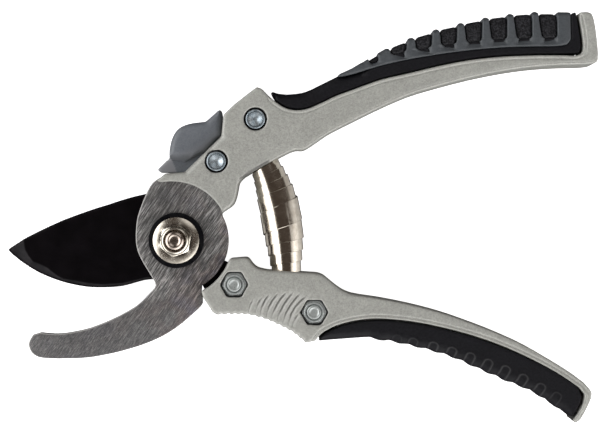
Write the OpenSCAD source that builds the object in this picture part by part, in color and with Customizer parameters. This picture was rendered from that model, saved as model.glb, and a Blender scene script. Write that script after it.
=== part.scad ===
// Bypass pruning shears, lying open on their back.
// The origin is the pivot's axis in the plane of the backs of the handles.
// X runs from the pivot towards the grips, Y towards the upper handle, Z towards the front.

/* [Layers] */
// Thickness of both handles
handle_t = 14.8; // [14.6:0.2:17]
// Thickness of the pivot bolt's head, which lies level with the handles' backs
head_t = 3.2; // [2.8:0.1:3.6]
// Thickness of the thrust washer between the bolt's head and the blade
thrust_t = 0.8; // [0.6:0.1:1]
// Thickness of the blade
blade_t = 3; // [2.6:0.1:3.2]
// Running gap between the blade and the hook
blade_gap = 0.1; // [0.05:0.05:0.2]
// Thickness of the hook
hook_t = 3.6; // [3:0.1:4]

/* [Pivot] */
// Diameter of the pivot bolt's shank
pivot_d = 6; // [5:0.5:8]
// Diameter of the pivot bolt's head
head_d = 15; // [12:0.5:17]
// Diameter of the black washer under the pivot nut
ring_d = 19; // [17:0.2:20]
// Thickness of the black washer
ring_t = 1; // [0.8:0.1:1.5]
// Diameter of the pivot nut's flange
flange_d = 16; // [14:0.5:16.5]
// Thickness of the pivot nut's flange
flange_t = 1.2; // [1:0.1:2]
// Width across the flats of the pivot nut
pivot_nut_af = 10; // [9.5:0.5:13]
// Height of the pivot nut's hexagon above its flange
pivot_nut_h = 4; // [3:0.5:5]
// How far the bolt's end stands out of the nut
bolt_end_h = 1.5; // [0.5:0.25:2]
// Radial clearance of a turning fit
turn_fit = 0.05; // [0.02:0.01:0.1]

/* [Fasteners] */
// Diameter of the four smaller screws
screw_d = 5; // [4:0.5:5]
// Radial clearance of the screws in the pieces they hold
screw_fit = 0.1; // [0.05:0.05:0.2]
// Width across the flats of the screws' nuts
nut_af = 8; // [7.5:0.5:8.5]
// Thickness of the thin nuts on the back of the upper handle
thin_nut_t = 2.7; // [2:0.1:3]
// Thickness of the nuts in the front of the lower handle
nut_t = 3.2; // [2.7:0.1:4]
// How far the blade screws' nuts lie below the front of the lower handle
nut_sink = 0.4; // [0.2:0.1:1]
// Room round each nut in its pocket
nut_fit = 0.2; // [0.1:0.05:0.3]
// Diameter of the hook screws' dimpled heads
hook_head_d = 6.6; // [6:0.2:7]
// Height of the hook screws' heads
hook_head_h = 1.7; // [1.2:0.1:2]
// Diameter of the blade screws' heads on the back
blade_head_d = 8.4; // [8:0.2:9]
// Height of the blade screws' heads
blade_head_h = 2.6; // [1.8:0.1:3]
// Room round each screw's head in its counterbore
head_fit = 0.6; // [0.3:0.1:0.7]

/* [Hook] */
// Radius of the hook's disc round the pivot
disc_r = 17.8; // [17:0.2:18.4]
// How far the hook's tip reaches from the pivot
hook_reach = 50.8; // [44:0.2:56]
// Half the width of the hook's tang round its screws
tang_w = 4.8; // [4.2:0.1:4.9]

/* [Blade] */
// How far the blade's tip reaches from the pivot
blade_reach = 58.8; // [50:0.2:64]
// Radius of the blade's hub behind the hook
hub_r = 15; // [13:0.5:15.5]
// Radius of the hub's raised rim that the catch drops into
rim_r = 18.5; // [17.6:0.1:18.5]
// Depth of the catch's notch in the rim
notch_depth = 2; // [1:0.5:2.5]
// Half the width of the blade's tang round its screws
blade_tang_w = 6; // [5:0.5:6.5]
// Angle that the blade turns from open to closed
close_angle = 33; // [28:1:36]

/* [Upper handle] */
// How far the upper handle reaches from the pivot
upper_reach = 143.9; // [135:0.1:155]
// Depth of the tongue that carries each grip
tongue_h = 4.5; // [3:0.5:5]
// Thickness of the tongues
tongue_t = 5; // [4:0.5:6]

/* [Lower handle] */
// How far the lower handle reaches from the pivot
lower_reach = 141.8; // [132:0.1:152]
// Gap between the hook's disc and the lower handle
disc_gap = 1.5; // [1.2:0.1:2]
// Spacing of the teeth under the lower handle
tooth_pitch = 2.3; // [1.8:0.1:3]
// Depth of these teeth
tooth_h = 0.6; // [0.3:0.1:0.9]

/* [Catch] */
// Radius of the catch's hub round its screw
catch_hub_r = 6.2; // [5.6:0.1:6.4]
// Outer diameter of the bush that the catch turns on
bush_d = 7.2; // [6.8:0.1:8]
// How far the catch turns towards the blade's rim
catch_swing = 14; // [10:1:14]
// Room round the catch's hub in its slot
catch_room = 0.4; // [0.3:0.1:0.6]
// Gap above and below the catch in its slot
catch_gap = 0.1; // [0.05:0.05:0.2]
// Height of the catch's thumb pad above its plate
pad_h = 3.4; // [2:0.1:3.5]

/* [Spring] */
// Radius of the spring at its middle
spring_r = 7; // [6.5:0.1:7.2]
// How much each turn lies inside the one next to it
spring_step = 0.5; // [0.46:0.01:0.52]
// Turns on each side of the middle
spring_turns = 4.5; // [3.5:0.5:5]
// Width of the spring's strip
strip_w = 6; // [4:0.5:7]
// Thickness of the spring's strip
strip_t = 0.4; // [0.3:0.05:0.4]
// Room round the spring's ends in their pockets
pocket_fit = 0.45; // [0.3:0.05:0.6]
// Depth of the spring's pockets in the handles
pocket_depth = 2.2; // [1.5:0.1:3]
// Diameter of the pegs inside the spring's ends
peg_d = 7.2; // [6:0.2:7.6]

/* [Grips] */
// Gap between a grip and the rim of its handle
grip_gap = 0.4; // [0.2:0.1:0.8]
// How far the grips' sides lie inside the handles' faces
grip_inset = 0.8; // [0.5:0.1:1.5]
// How far the ribs stand out over the pads between them
rib_proud = 0.7; // [0.5:0.1:1.5]
// Spacing of the ribs on the upper grip
rib_pitch = 8.6; // [8:0.1:10]
// Thickness of each rib along the grip
rib_w = 3.3; // [2.5:0.1:4]
// Depth of the grey frame over the grip's black middle
frame_wall = 1.8; // [1.4:0.1:2.2]
// How far the grey frame's sides stand out over the black
frame_proud = 0.3; // [0.1:0.1:0.4]
// How far the pads between the ribs lie inside the grip's sides
pad_inset = 0.5; // [0.3:0.1:0.8]
// Spacing of the bumps under the lower grip
bump_pitch = 6.4; // [5:0.1:8]
// Height of these bumps
bump_h = 0.7; // [0.3:0.1:1]

/* [Hidden] */
$fn = 72;

// Levels of the layers, from the back
blade_z = head_t + thrust_t;
hook_z = blade_z + blade_t + blade_gap;
cheek_z = hook_z + hook_t;
nut_z = cheek_z + ring_t;
mid_z = handle_t / 2;
over = 1;

// Places of the screws
hook_front = [13.9, 27];
hook_rear = [27.2, 41.4];
blade_front = [20, -15];
blade_rear = [47.2, -24.4];

// Middle of each end of the spring, on the handles' faces
seat_top = [30.3, 25.8];
seat_top_angle = -61;
seat_low = [37.6, -10.4];
seat_low_angle = -90;
spring_end_r = spring_r - spring_step * spring_turns;
pocket_r = spring_end_r + strip_t / 2 + pocket_fit;

// Radii round the pivot
lower_arc_r = disc_r + disc_gap;
bore_r = rim_r + 0.6;
stop_r = hub_r + 0.4;

// Angles round the pivot
pivot_nut_turn = 20;
flank_a = -23.5;
heel_a = -61;
stop_a = flank_a + close_angle + 1;

// Places from which a changed reach stretches the handles and the jaws
stretch_x = 60;
jaw_x = -16;

// ---- Outline helpers ----

function polar(r, a) = [r * cos(a), r * sin(a)];

function arc(r, a0, a1, n = 12) = [for (i = [0:n]) polar(r, a0 + (a1 - a0) * i / n)];

// Spiral round the pivot
function spiral(r0, r1, a0, a1, n = 12) =
    [for (i = [0:n]) polar(r0 + (r1 - r0) * i / n, a0 + (a1 - a0) * i / n)];

function blend4(a, b, c, d, t) =
    0.5 * (2 * b + (c - a) * t + (2 * a - 5 * b + 4 * c - d) * t * t + (3 * b - a - 3 * c + d) * t * t * t);

// Smooth curve through a few points, with n steps between each two
function smooth(p, n = 4) = concat(
    [for (i = [0:len(p) - 2], k = [0:n - 1])
        blend4(p[max(i - 1, 0)], p[i], p[i + 1], p[min(i + 2, len(p) - 1)], k / n)],
    [p[len(p) - 1]]
);

function unit(v) = v / norm(v);
function left_of(v) = [-v[1], v[0]];

// A path with a row of bumps along it, standing out to the path's left
function bumpy(p, pitch, h) =
    let (len_at = [for (i = 0, s = 0; i < len(p); s = s + (i < len(p) - 1 ? norm(p[i + 1] - p[i]) : 0), i = i + 1) s])
    [for (i = [0:len(p) - 1])
        let (ahead = p[min(i + 1, len(p) - 1)], behind = p[max(i - 1, 0)])
        p[i] + left_of(unit(ahead - behind)) * h * abs(sin(180 * len_at[i] / pitch))];

// Points moved by a shift
function moved(p, shift) = [for (q = p) q + shift];

function reversed(p) = [for (i = [len(p) - 1:-1:0]) p[i]];

// Points past a start line are spaced out, so that the drawn length becomes the set one
function stretched(p, from, drawn, set) =
    [for (q = p)
        let (past = (q[0] - from) / (drawn - from))
        past > 0 ? [from + past * (set - from), q[1]] : q];

function upper(p) = stretched(p, stretch_x, max([for (q = upper_end) q[0]]), upper_reach);
function lower(p) = stretched(p, stretch_x, max([for (q = lower_end) q[0]]), lower_reach);
function jaw(p, tip, set) = stretched(p, jaw_x, tip, -set);

module plate(z0, z1) {
    translate([0, 0, z0]) linear_extrude(z1 - z0) children();
}

// A bar between two round ends is a little slimmer than the ends, so that its sides cut their circles cleanly
bar_waist = 0.3;
function bar_side(a, b, r) = left_of(unit(b - a)) * (r - bar_waist);

// Bar with round ends between two places
module bar(a, b, r, z0, z1) {
    side = bar_side(a, b, r);
    hole(a, 2 * r, z0, z1);
    hole(b, 2 * r, z0, z1);
    plate(z0, z1) polygon([a + side, b + side, b - side, a - side]);
}

module hole(at, d, z0, z1) {
    translate([at[0], at[1], z0]) cylinder(d = d, h = z1 - z0);
}

// Hexagon with two corners on the X axis
module hexagon(at, af, z0, z1) {
    translate([at[0], at[1], z0]) cylinder(d = af / cos(30), h = z1 - z0, $fn = 6);
}

// ---- Upper handle and its grip: outlines ----

underside = [
    [15.6, 9.2], [17, 10.4], [19.4, 12.2], [20.6, 15], [21.5, 19.6],
    [22.6, 21], [25.4, 22.9], [39, 30.3], [43, 30.8], [46, 32.3], [52, 36.4],
    [60, 40.5], [70, 45.4], [80, 49.7], [90, 52.7], [100, 55.3], [110, 57.4], [120, 58.9], [130, 59.7],
    [139, 59.9]
];
upper_end = [[142, 60.2], [143.9, 61.5], [143.6, 68], [142.6, 75], [141.2, 77.7], [137.6, 77.8]];
upper_lip = [[137.4, 76], [138.5, 70], [138.8, 65.5], [138, 63.6], [136, 62.9]];
upper_rim = [
    [31, 50.1], [33.5, 47.7], [36, 45.9], [38.5, 44.8], [41.5, 44.4], [45, 44.9], [50, 47], [55, 49.4],
    [60, 51.2], [70, 54.8], [80, 57.1], [90, 59.5], [100, 61.4], [110, 62.5], [120, 63], [130, 63.1], [136, 62.9]
];
head_top = [[29.4, 51.8], [27.7, 52.4], [25, 50.4], [20, 46.5], [16.3, 42.9]];
catch_edge = [[15.6, 35.7], [3, 23.4], [0, 23.1], [-3.5, 22.9], [-6.5, 20.5]];

function upper_outline() = concat(
    spiral(20.5, 18.8, 105, 33.5),
    smooth(upper([for (i = [0:4]) underside[i]])),
    smooth(upper([for (i = [4:len(underside) - 1]) underside[i]]), 3),
    smooth(upper(upper_end), 3),
    smooth(upper(upper_lip), 3),
    reversed(smooth(upper(upper_rim), 3)),
    head_top,
    catch_edge
);

// The rim that the grip sits on, without its steep start
rim_seat_u = smooth(upper([for (i = [4:len(upper_rim) - 2]) upper_rim[i]]), 3);

upper_top = [
    [60, 58.7], [71.5, 65.5], [80, 69.2], [88.5, 72.1], [97, 74.3], [105.5, 76.2], [114.3, 77.5], [123, 78.2],
    [134.5, 78]
];
grip_shoulder = [[38, 50], [42, 50.4], [45, 51.2], [50, 53.6], [56, 56.6]];
grip_start = [[38, 50], [35, 50.3], [32.8, 51], [32.4, 50.4]];
grip_end_u = [[137.6, 63.8], [138.3, 66], [137.8, 70], [136.8, 76.6], [136.3, 78]];

function rib_line(drop) = smooth(upper(moved(upper_top, [0, -drop])), 3);

function grip_outline(drop) = concat(
    smooth(moved(upper([for (i = [1:len(upper_rim) - 2]) upper_rim[i]]), [0.2, grip_gap]), 3),
    upper(grip_end_u),
    reversed(rib_line(drop)),
    reversed(smooth(grip_shoulder)),
    grip_start
);

frame_low = [
    [54.5, 55.6], [60, 56.6], [70, 59.6], [80, 61.8], [90, 63.5], [100, 64.8], [110, 65.7], [120, 66.1],
    [130, 66.2], [133.6, 66.9]
];
frame_end = [[134.8, 68.5], [134.6, 77.9]];

function frame_outline() = concat(
    smooth(upper(frame_low), 3),
    upper(frame_end),
    reversed(rib_line(0)),
    upper([[56, 56.9]])
);

// Height and slope of a line of points at one place along it
function height_at(p, x) =
    let (i = max([0, for (k = [0:len(p) - 2]) if (p[k][0] <= x) k]))
    p[i][1] + (p[i + 1][1] - p[i][1]) * (x - p[i][0]) / (p[i + 1][0] - p[i][0]);

// The windows between the ribs
first_window_x = 76;
last_window_room = 15.5;
window_count = floor((upper_reach - last_window_room - first_window_x) / rib_pitch) + 1;
window_sill = 1.7;
window_h = 20;
window_lean = 0.1;
small_window_at = [66.2, 60.4];
small_window_lean = 14;
small_window = [3.2, 9];

// Each window leans a little more than the one before it
module windows() {
    w = rib_pitch - rib_w;
    for (i = [0:window_count - 1]) {
        x = first_window_x + i * rib_pitch;
        translate([x, height_at(upper(frame_low), x) + window_sill]) rotate((x - first_window_x) * window_lean)
            translate([-w / 2, 0]) square([w, window_h]);
    }
    translate(small_window_at) rotate(small_window_lean) square(small_window);
}

// ---- Upper handle ----

// The hook's tang, grown by g for its slot
module tang(g) {
    side = bar_side(hook_front, hook_rear, tang_w + g);
    bar(hook_front, hook_rear, tang_w + g, hook_z, cheek_z);
    plate(hook_z, cheek_z) polygon([
        [-6 - g, 21.2], [0, 22.2 + g], [3.4 - g, 22.9 + g], hook_front + side,
        hook_front, hook_front - side, [15.3 + g, 9.1], [0, 9]
    ]);
}

// The space that the catch turns in
module catch_slot() {
    hole(hook_front, 2 * (catch_hub_r + catch_room), blade_z, hook_z);
    plate(blade_z, hook_z)
        polygon([[-10, 15], [-10, 40], [15.6, 40], [15.6, 33.5], [19, 31.5], [17, 20], [12, 15]]);
}

// The lug behind the hook's disc that stops the blade's tang when the jaws are closed
module stop_lug() {
    plate(0, hook_z) polygon(concat(
        arc(stop_r, stop_a, 44),
        arc(bore_r + 0.8, 44, 33, 4),
        arc(disc_r - 0.3, 31, stop_a)
    ));
}

module spring_pocket(seat, angle) {
    translate([seat[0], seat[1], mid_z]) rotate([0, 0, angle]) rotate([0, -90, 0]) difference() {
        cylinder(r = pocket_r, h = pocket_depth * 2, center = true);
        translate([0, 0, -pocket_depth]) cylinder(d = peg_d, h = pocket_depth * 3, center = true);
    }
}

// The part of each peg that stands out of its handle
module peg(seat, angle) {
    translate([seat[0], seat[1], mid_z]) rotate([0, 0, angle]) rotate([0, 90, 0])
        translate([0, 0, -pocket_depth]) cylinder(d = peg_d, h = pocket_depth + 2);
}

module upper_handle() {
    color([0.63, 0.63, 0.60]) {
        difference() {
            plate(0, handle_t) polygon(upper_outline());
            plate(-over, hook_z) circle(bore_r);
            tang(screw_fit);
            plate(hook_z, cheek_z) polygon([[-9, 17], [-9, 23], [-5.3, 23], [-5.3, 17]]);
            catch_slot();
            for (at = [hook_front, hook_rear]) {
                hole(at, screw_d + 2 * screw_fit, -over, handle_t + over);
                hole(at, hook_head_d + 2 * head_fit, handle_t - hook_head_h, handle_t + over);
                hexagon(at, nut_af + 2 * nut_fit, -over, thin_nut_t);
            }
            spring_pocket(seat_top, seat_top_angle);
        }
        stop_lug();
        peg(seat_top, seat_top_angle);
        plate(mid_z - tongue_t / 2, mid_z + tongue_t / 2)
            polygon(concat(moved(rim_seat_u, [0, -1]), reversed(moved(rim_seat_u, [0, tongue_h]))));
    }
}

// The black middle that the grey frame wraps round
module grip_core() {
    plate(grip_inset + frame_wall, handle_t - grip_inset - frame_wall)
        polygon(grip_outline(rib_proud + frame_wall - pad_inset));
}

module upper_grip() {
    color([0.12, 0.12, 0.13]) difference() {
        union() {
            plate(grip_inset, handle_t - grip_inset) difference() {
                polygon(grip_outline(rib_proud));
                polygon(frame_outline());
            }
            grip_core();
            plate(grip_inset + pad_inset, handle_t - grip_inset - pad_inset) intersection() {
                polygon(grip_outline(rib_proud));
                polygon(frame_outline());
                windows();
            }
        }
        plate(mid_z - tongue_t / 2 - screw_fit, mid_z + tongue_t / 2 + screw_fit) polygon(concat(
            moved(rim_seat_u, [-0.3, -2]),
            [rim_seat_u[len(rim_seat_u) - 1] + [0.3, 0]],
            reversed(moved(rim_seat_u, [0, tongue_h + screw_fit])),
            [rim_seat_u[0] + [-0.3, tongue_h + screw_fit]]
        ));
    }
}

module upper_grip_frame() {
    color([0.34, 0.36, 0.38]) difference() {
        plate(grip_inset - frame_proud, handle_t - grip_inset + frame_proud) difference() {
            polygon(frame_outline());
            windows();
        }
        grip_core();
    }
}

// ---- Hook ----

hook_back = [
    [-7.4, -14.6], [-8.7, -12.2], [-12.3, -6.1], [-13.8, -1.6], [-13.9, 4], [-12.8, 10], [-9.1, 18.6], [-6, 21.4]
];
hook_inner = [
    [-46.8, -31.7], [-40.7, -32.1], [-34.7, -31.3], [-28.6, -29.7], [-20.6, -26.3], [-13.5, -22.2], [-9, -17.8]
];
hook_tip = [[-40.7, -40.6], [-46.8, -40.2], [-49.7, -38.5], [-50.8, -35.4], [-49.3, -32.4]];
hook_far = min([for (p = hook_tip) p[0]]);
hook_outer = [[8.9, -21.6], [7.4, -23.6], [-0.4, -30.2], [-8.5, -34.6], [-18.5, -37.9], [-28.6, -40], [-34.7, -40.5]];

module hook_shape() {
    plate(hook_z, cheek_z) polygon(concat(
        arc(disc_r, 34, heel_a, 24),
        [[8.5, -17.6], [8.9, -19.6]],
        smooth(jaw(hook_outer, hook_far, hook_reach)),
        smooth(jaw(hook_tip, hook_far, hook_reach)),
        smooth(jaw(hook_inner, hook_far, hook_reach)),
        [[-7.6, -16.4], [-7.2, -15.5]],
        smooth(hook_back),
        [[0, 15]]
    ));
    tang(0);
}

module hook() {
    color([0.47, 0.45, 0.44]) difference() {
        hook_shape();
        hole([0, 0], pivot_d + 2 * turn_fit, hook_z - over, cheek_z + over);
        for (at = [hook_front, hook_rear]) {
            hole(at, screw_d + 2 * screw_fit, hook_z - over, cheek_z + over);
        }
    }
}

// ---- Blade ----

blade_spine = [
    [-6.2, 17.4], [-11.4, 15.9], [-17, 14.3], [-23.4, 12.2], [-31.2, 10], [-41.4, 5.8], [-51.6, 0.9], [-58.6, -3.2]
];
blade_edge = [
    [-58.8, -3.7], [-56.8, -5.5], [-51.6, -9.2], [-46.5, -12], [-39.4, -14.6], [-32.2, -16.1], [-26.1, -16.4],
    [-19, -15.9], [-10.9, -13.8], [-4, -13.6]
];
blade_far = min([for (p = blade_edge) p[0]]);
rim_a0 = 62;
rim_a1 = 110;
notch_a = 71;

// The blade's tang, grown by g for its slot
module blade_tang(g) {
    grow_a = g * 3;
    bar(blade_front, blade_rear, blade_tang_w + g, blade_z, blade_z + blade_t);
    plate(blade_z, blade_z + blade_t) polygon(concat(
        [polar(8, (flank_a + heel_a) / 2)],
        [for (r = [14, 19, 22 + 2 * g]) polar(r, flank_a + grow_a)],
        [polar(24 + 2 * g, -35)],
        [for (r = [22 + 2 * g, 19, 14]) polar(r, heel_a - grow_a)]
    ));
}

module blade() {
    color([0.06, 0.06, 0.07]) difference() {
        union() {
            hole([0, 0], 2 * hub_r, blade_z, blade_z + blade_t);
            plate(blade_z, blade_z + blade_t) difference() {
                polygon(concat([[0, 0]], arc(rim_r, rim_a0, rim_a1)));
                rotate(notch_a) translate([rim_r - notch_depth, -1.6]) square([notch_depth + over, 3.2]);
            }
            plate(blade_z, blade_z + blade_t) polygon(concat(
                smooth(jaw(blade_spine, blade_far, blade_reach)),
                smooth(jaw(blade_edge, blade_far, blade_reach)),
                [[0, 0]]
            ));
            blade_tang(0);
        }
        hole([0, 0], pivot_d + 2 * turn_fit, blade_z - over, hook_z);
        for (at = [blade_front, blade_rear]) {
            hole(at, screw_d + 2 * screw_fit, blade_z - over, hook_z);
        }
    }
}

// ---- Lower handle and its grip ----

lower_corner = [[9.4, -19.5], [10.2, -20.6], [12.6, -24.4]];
toothed_edge = [
    [13.4, -24.8], [17, -24.6], [22, -24.6], [25, -24.8], [30, -26], [35, -28.1], [40, -30.7], [44.8, -34.5]
];
lower_rim = [
    [47.6, -34.2], [49.5, -31.8], [52, -30.2], [55, -28.8], [60, -27.4], [65, -26.7], [70, -26.5], [80, -27.4],
    [90, -29.3], [100, -31.9], [110, -35.3], [120, -39.7], [130, -45], [137.4, -50]
];
lower_lip = [[139.4, -52.4], [138.7, -55.8], [136.6, -59.4], [135.2, -61]];
lower_end = [[135.9, -62.2], [138, -60.8], [140.8, -55.6], [141.8, -51.9], [139, -48.3]];
lower_top = [
    [135, -45.3], [130, -42.1], [120, -36.3], [110, -31.7], [100, -27.8], [90, -24.4], [80, -21.8], [70, -19.8],
    [60, -18.2], [55.5, -16], [52, -13.2], [50, -11.7], [48, -11.1]
];
lower_nub = [[31, -10.1], [27.8, -9.3], [26.2, -8], [24.9, -6.3], [24, -5.7]];

function toothed() = bumpy(smooth(toothed_edge, 16), tooth_pitch, -tooth_h);

function lower_outline() = concat(
    arc(lower_arc_r, -18.6, -63.2, 16),
    lower_corner,
    toothed(),
    smooth(lower(lower_rim), 3),
    smooth(lower(lower_lip), 3),
    smooth(lower(lower_end), 3),
    smooth(lower(lower_top), 3),
    smooth(lower_nub)
);

rim_seat_l = smooth(lower([for (i = [3:len(lower_rim) - 2]) lower_rim[i]]), 3);

grip_end_l = [
    [132.8, -47.2], [135.4, -49], [137, -50.4], [138.6, -52.8], [137.9, -55.8], [136, -59.2], [134.4, -60.2]
];
lower_back = [[49, -34.4], [52, -34.1], [56, -33.8], [60, -33.5], [66, -33.1]];
bump_base = [
    [67, -33.3], [74, -34.2], [84, -36.4], [94, -39.3], [103, -43.2], [113, -47.6], [120, -50.4], [126, -53.7],
    [133, -58.6]
];

function lower_grip_outline() = concat(
    smooth(moved(lower([for (i = [0:len(lower_rim) - 2]) lower_rim[i]]), [0.5, -grip_gap - 0.3]), 3),
    lower(grip_end_l),
    reversed(bumpy(smooth(lower(bump_base), 8), bump_pitch, -bump_h)),
    reversed(smooth(lower_back))
);

module lower_handle() {
    color([0.63, 0.63, 0.60]) {
        difference() {
            plate(0, handle_t) polygon(lower_outline());
            blade_tang(screw_fit);
            for (at = [blade_front, blade_rear]) {
                hole(at, screw_d + 2 * screw_fit, -over, handle_t + over);
                hole(at, blade_head_d + 2 * screw_fit, -over, blade_head_h);
                hexagon(at, nut_af + 2 * nut_fit, handle_t - nut_t - nut_sink, handle_t + over);
            }
            spring_pocket(seat_low, seat_low_angle + 180);
        }
        peg(seat_low, seat_low_angle + 180);
        plate(mid_z - tongue_t / 2, mid_z + tongue_t / 2)
            polygon(concat(moved(rim_seat_l, [0, 1]), reversed(moved(rim_seat_l, [0, -tongue_h]))));
    }
}

module lower_grip() {
    color([0.12, 0.12, 0.13]) difference() {
        plate(grip_inset, handle_t - grip_inset) polygon(lower_grip_outline());
        plate(mid_z - tongue_t / 2 - screw_fit, mid_z + tongue_t / 2 + screw_fit) polygon(concat(
            [rim_seat_l[0] + [-0.3, 2]],
            moved(rim_seat_l, [0, 2]),
            [rim_seat_l[len(rim_seat_l) - 1] + [0.3, 2]],
            [rim_seat_l[len(rim_seat_l) - 1] + [0.3, -tongue_h - screw_fit]],
            reversed(moved(rim_seat_l, [0, -tongue_h - screw_fit])),
            [rim_seat_l[0] + [-0.3, -tongue_h - screw_fit]]
        ));
    }
}

// ---- Catch ----

catch_back = [
    [-7, 24.4], [-4.1, 27.2], [-2.7, 28.6], [-2.5, 31.9], [-1.4, 35.8], [0.7, 38.6], [4.4, 40.2], [9.9, 40.9]
];
catch_horn = [[13.9, 44.5], [14.8, 45.1], [15.5, 44.4], [15.7, 42.7], [15.2, 35.9]];

module catch() {
    color([0.39, 0.41, 0.44]) difference() {
        union() {
            plate(blade_z + catch_gap, hook_z - catch_gap) {
                polygon(concat(
                    smooth(catch_back), catch_horn,
                    [[15.2, 33], hook_front, [9, 23.2], [1.5, 23.1], [-5.7, 23.3]]
                ));
                translate(hook_front) circle(catch_hub_r);
            }
            plate(blade_z + catch_gap, hook_z - catch_gap + pad_h) polygon(concat(
                smooth([for (i = [2:len(catch_back) - 1]) catch_back[i]]), catch_horn,
                [[14.2, 35.2], [9.8, 30.9], [2.4, 27.1], [-1.8, 27.7]]
            ));
        }
        hole(hook_front, bush_d + 2 * turn_fit, blade_z - over, hook_z + over);
    }
}

module catch_bush() {
    color([0.75, 0.74, 0.70]) difference() {
        hole(hook_front, bush_d, blade_z, hook_z);
        hole(hook_front, screw_d + 2 * screw_fit, blade_z - over, hook_z + over);
    }
}

// ---- Fasteners ----

dimple_r = 2.6;
dimple_depth = 0.8;

// Screw that goes in from the front, with a dimpled head
module hook_screw(at) {
    color([0.62, 0.67, 0.72]) difference() {
        union() {
            hole(at, screw_d, 0.2, handle_t - hook_head_h);
            hole(at, hook_head_d, handle_t - hook_head_h, handle_t - 0.1);
        }
        translate([at[0], at[1], handle_t - 0.1 - dimple_depth])
            cylinder(r1 = 0.2, r2 = dimple_r + 0.2, h = dimple_depth + 0.05);
    }
}

module hook_nut(at) {
    color([0.62, 0.67, 0.72]) difference() {
        hexagon(at, nut_af, 0.1, thin_nut_t);
        hole(at, screw_d + 2 * turn_fit, -over, thin_nut_t + over);
    }
}

// Screw that goes in from the back
module blade_screw(at) {
    color([0.62, 0.67, 0.72]) difference() {
        union() {
            hole(at, screw_d, blade_head_h, handle_t - 0.3);
            hole(at, blade_head_d, 0.1, blade_head_h);
        }
        hexagon(at, 3, -over, 1.4);
    }
}

module blade_nut(at) {
    color([0.62, 0.67, 0.72]) difference() {
        hexagon(at, nut_af, handle_t - nut_t - nut_sink, handle_t - nut_sink);
        hole(at, screw_d + 2 * turn_fit, 0, handle_t + over);
    }
}

module pivot_bolt() {
    color([0.72, 0.68, 0.60]) {
        hole([0, 0], head_d, 0, head_t);
        hole([0, 0], pivot_d, head_t, nut_z + flange_t + pivot_nut_h + bolt_end_h);
    }
}

module pivot_nut() {
    color([0.78, 0.74, 0.66]) difference() {
        union() {
            hole([0, 0], flange_d, nut_z, nut_z + flange_t);
            rotate(pivot_nut_turn)
                hexagon([0, 0], pivot_nut_af, nut_z + flange_t / 2, nut_z + flange_t + pivot_nut_h);
        }
        hole([0, 0], pivot_d + 2 * turn_fit, nut_z - over, nut_z + flange_t + pivot_nut_h + over);
    }
}

module washer(outer_d, z0, z1) {
    difference() {
        hole([0, 0], outer_d, z0, z1);
        hole([0, 0], pivot_d + 2 * turn_fit, z0 - over, z1 + over);
    }
}

module pivot_washer() {
    color([0.08, 0.08, 0.09]) washer(ring_d, cheek_z, nut_z);
}

module thrust_washer() {
    color([0.6, 0.6, 0.6]) washer(head_d + 1, head_t, blade_z);
}

// ---- Spring ----

// The axis runs from the floor of one pocket to the floor of the other, as a quadratic curve
axis_start = seat_top - polar(pocket_depth, seat_top_angle);
axis_end = seat_low + polar(pocket_depth, seat_low_angle);
axis_bend = [axis_end[0], axis_start[1] + (axis_end[0] - axis_start[0]) * tan(seat_top_angle)];
speed_start = 2 * norm(axis_bend - axis_start);
speed_end = 2 * norm(axis_end - axis_bend);
axis_length = (speed_start + speed_end) / 2;
end_gap = 0.3;
spring_segments = 180;

// Share of the curve that has passed at a distance s along the axis
function axis_share(s) = 2 * s / (speed_start + sqrt(speed_start * speed_start + 2 * (speed_end - speed_start) * s));
function axis_point(t) = (1 - t) * (1 - t) * axis_start + 2 * t * (1 - t) * axis_bend + t * t * axis_end;
function axis_dir(t) = unit(2 * (1 - t) * (axis_bend - axis_start) + 2 * t * (axis_end - axis_bend));

// The turns lie further apart at the middle of the spring, where the two halves part
middle_jump = 3.5;
function jump(u) = middle_jump * u / sqrt(0.5 + u * u);
spring_travel = axis_length - strip_w - 2 * end_gap;
spring_lead = (spring_travel / 2 - jump(spring_turns)) / spring_turns;

function strip_corner(u, along, out) =
    let (
        s = axis_length / 2 + spring_lead * u + jump(u) + along,
        t = axis_share(s),
        dir = axis_dir(t),
        side = left_of(dir),
        r = spring_r - spring_step * abs(u) + out,
        p = axis_point(t) + side * r * cos(360 * u)
    )
    [p[0], p[1], mid_z + r * sin(360 * u)];

module spring() {
    ring = [
        [-strip_w / 2, -strip_t / 2], [strip_w / 2, -strip_t / 2],
        [strip_w / 2, strip_t / 2], [-strip_w / 2, strip_t / 2]
    ];
    points = [for (i = [0:spring_segments], c = ring)
        strip_corner(spring_turns * (2 * i / spring_segments - 1), c[0], c[1])];
    sides = [for (i = [0:spring_segments - 1], k = [0:3])
        let (a = 4 * i + k, b = 4 * i + (k + 1) % 4)
        each [[a, b, b + 4], [a, b + 4, a + 4]]];
    last = 4 * spring_segments;
    ends = [[3, 2, 1, 0], [last, last + 1, last + 2, last + 3]];
    color([0.78, 0.74, 0.66]) polyhedron(points, concat(sides, ends), convexity = 10);
}

upper_handle();
hook();
upper_grip();
upper_grip_frame();
hook_screw(hook_front);  // hook_screw_front
hook_screw(hook_rear);  // hook_screw_rear
hook_nut(hook_front);  // hook_nut_front
hook_nut(hook_rear);  // hook_nut_rear
catch();
catch_bush();
pivot_bolt();
pivot_nut();
pivot_washer();
thrust_washer();
spring();
lower_handle();
blade();
lower_grip();
blade_screw(blade_front);  // blade_screw_front
blade_screw(blade_rear);  // blade_screw_rear
blade_nut(blade_front);  // blade_nut_front
blade_nut(blade_rear);  // blade_nut_rear
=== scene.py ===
import math

import bmesh
import bpy
import numpy as np
from mathutils import Matrix, Vector


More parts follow.
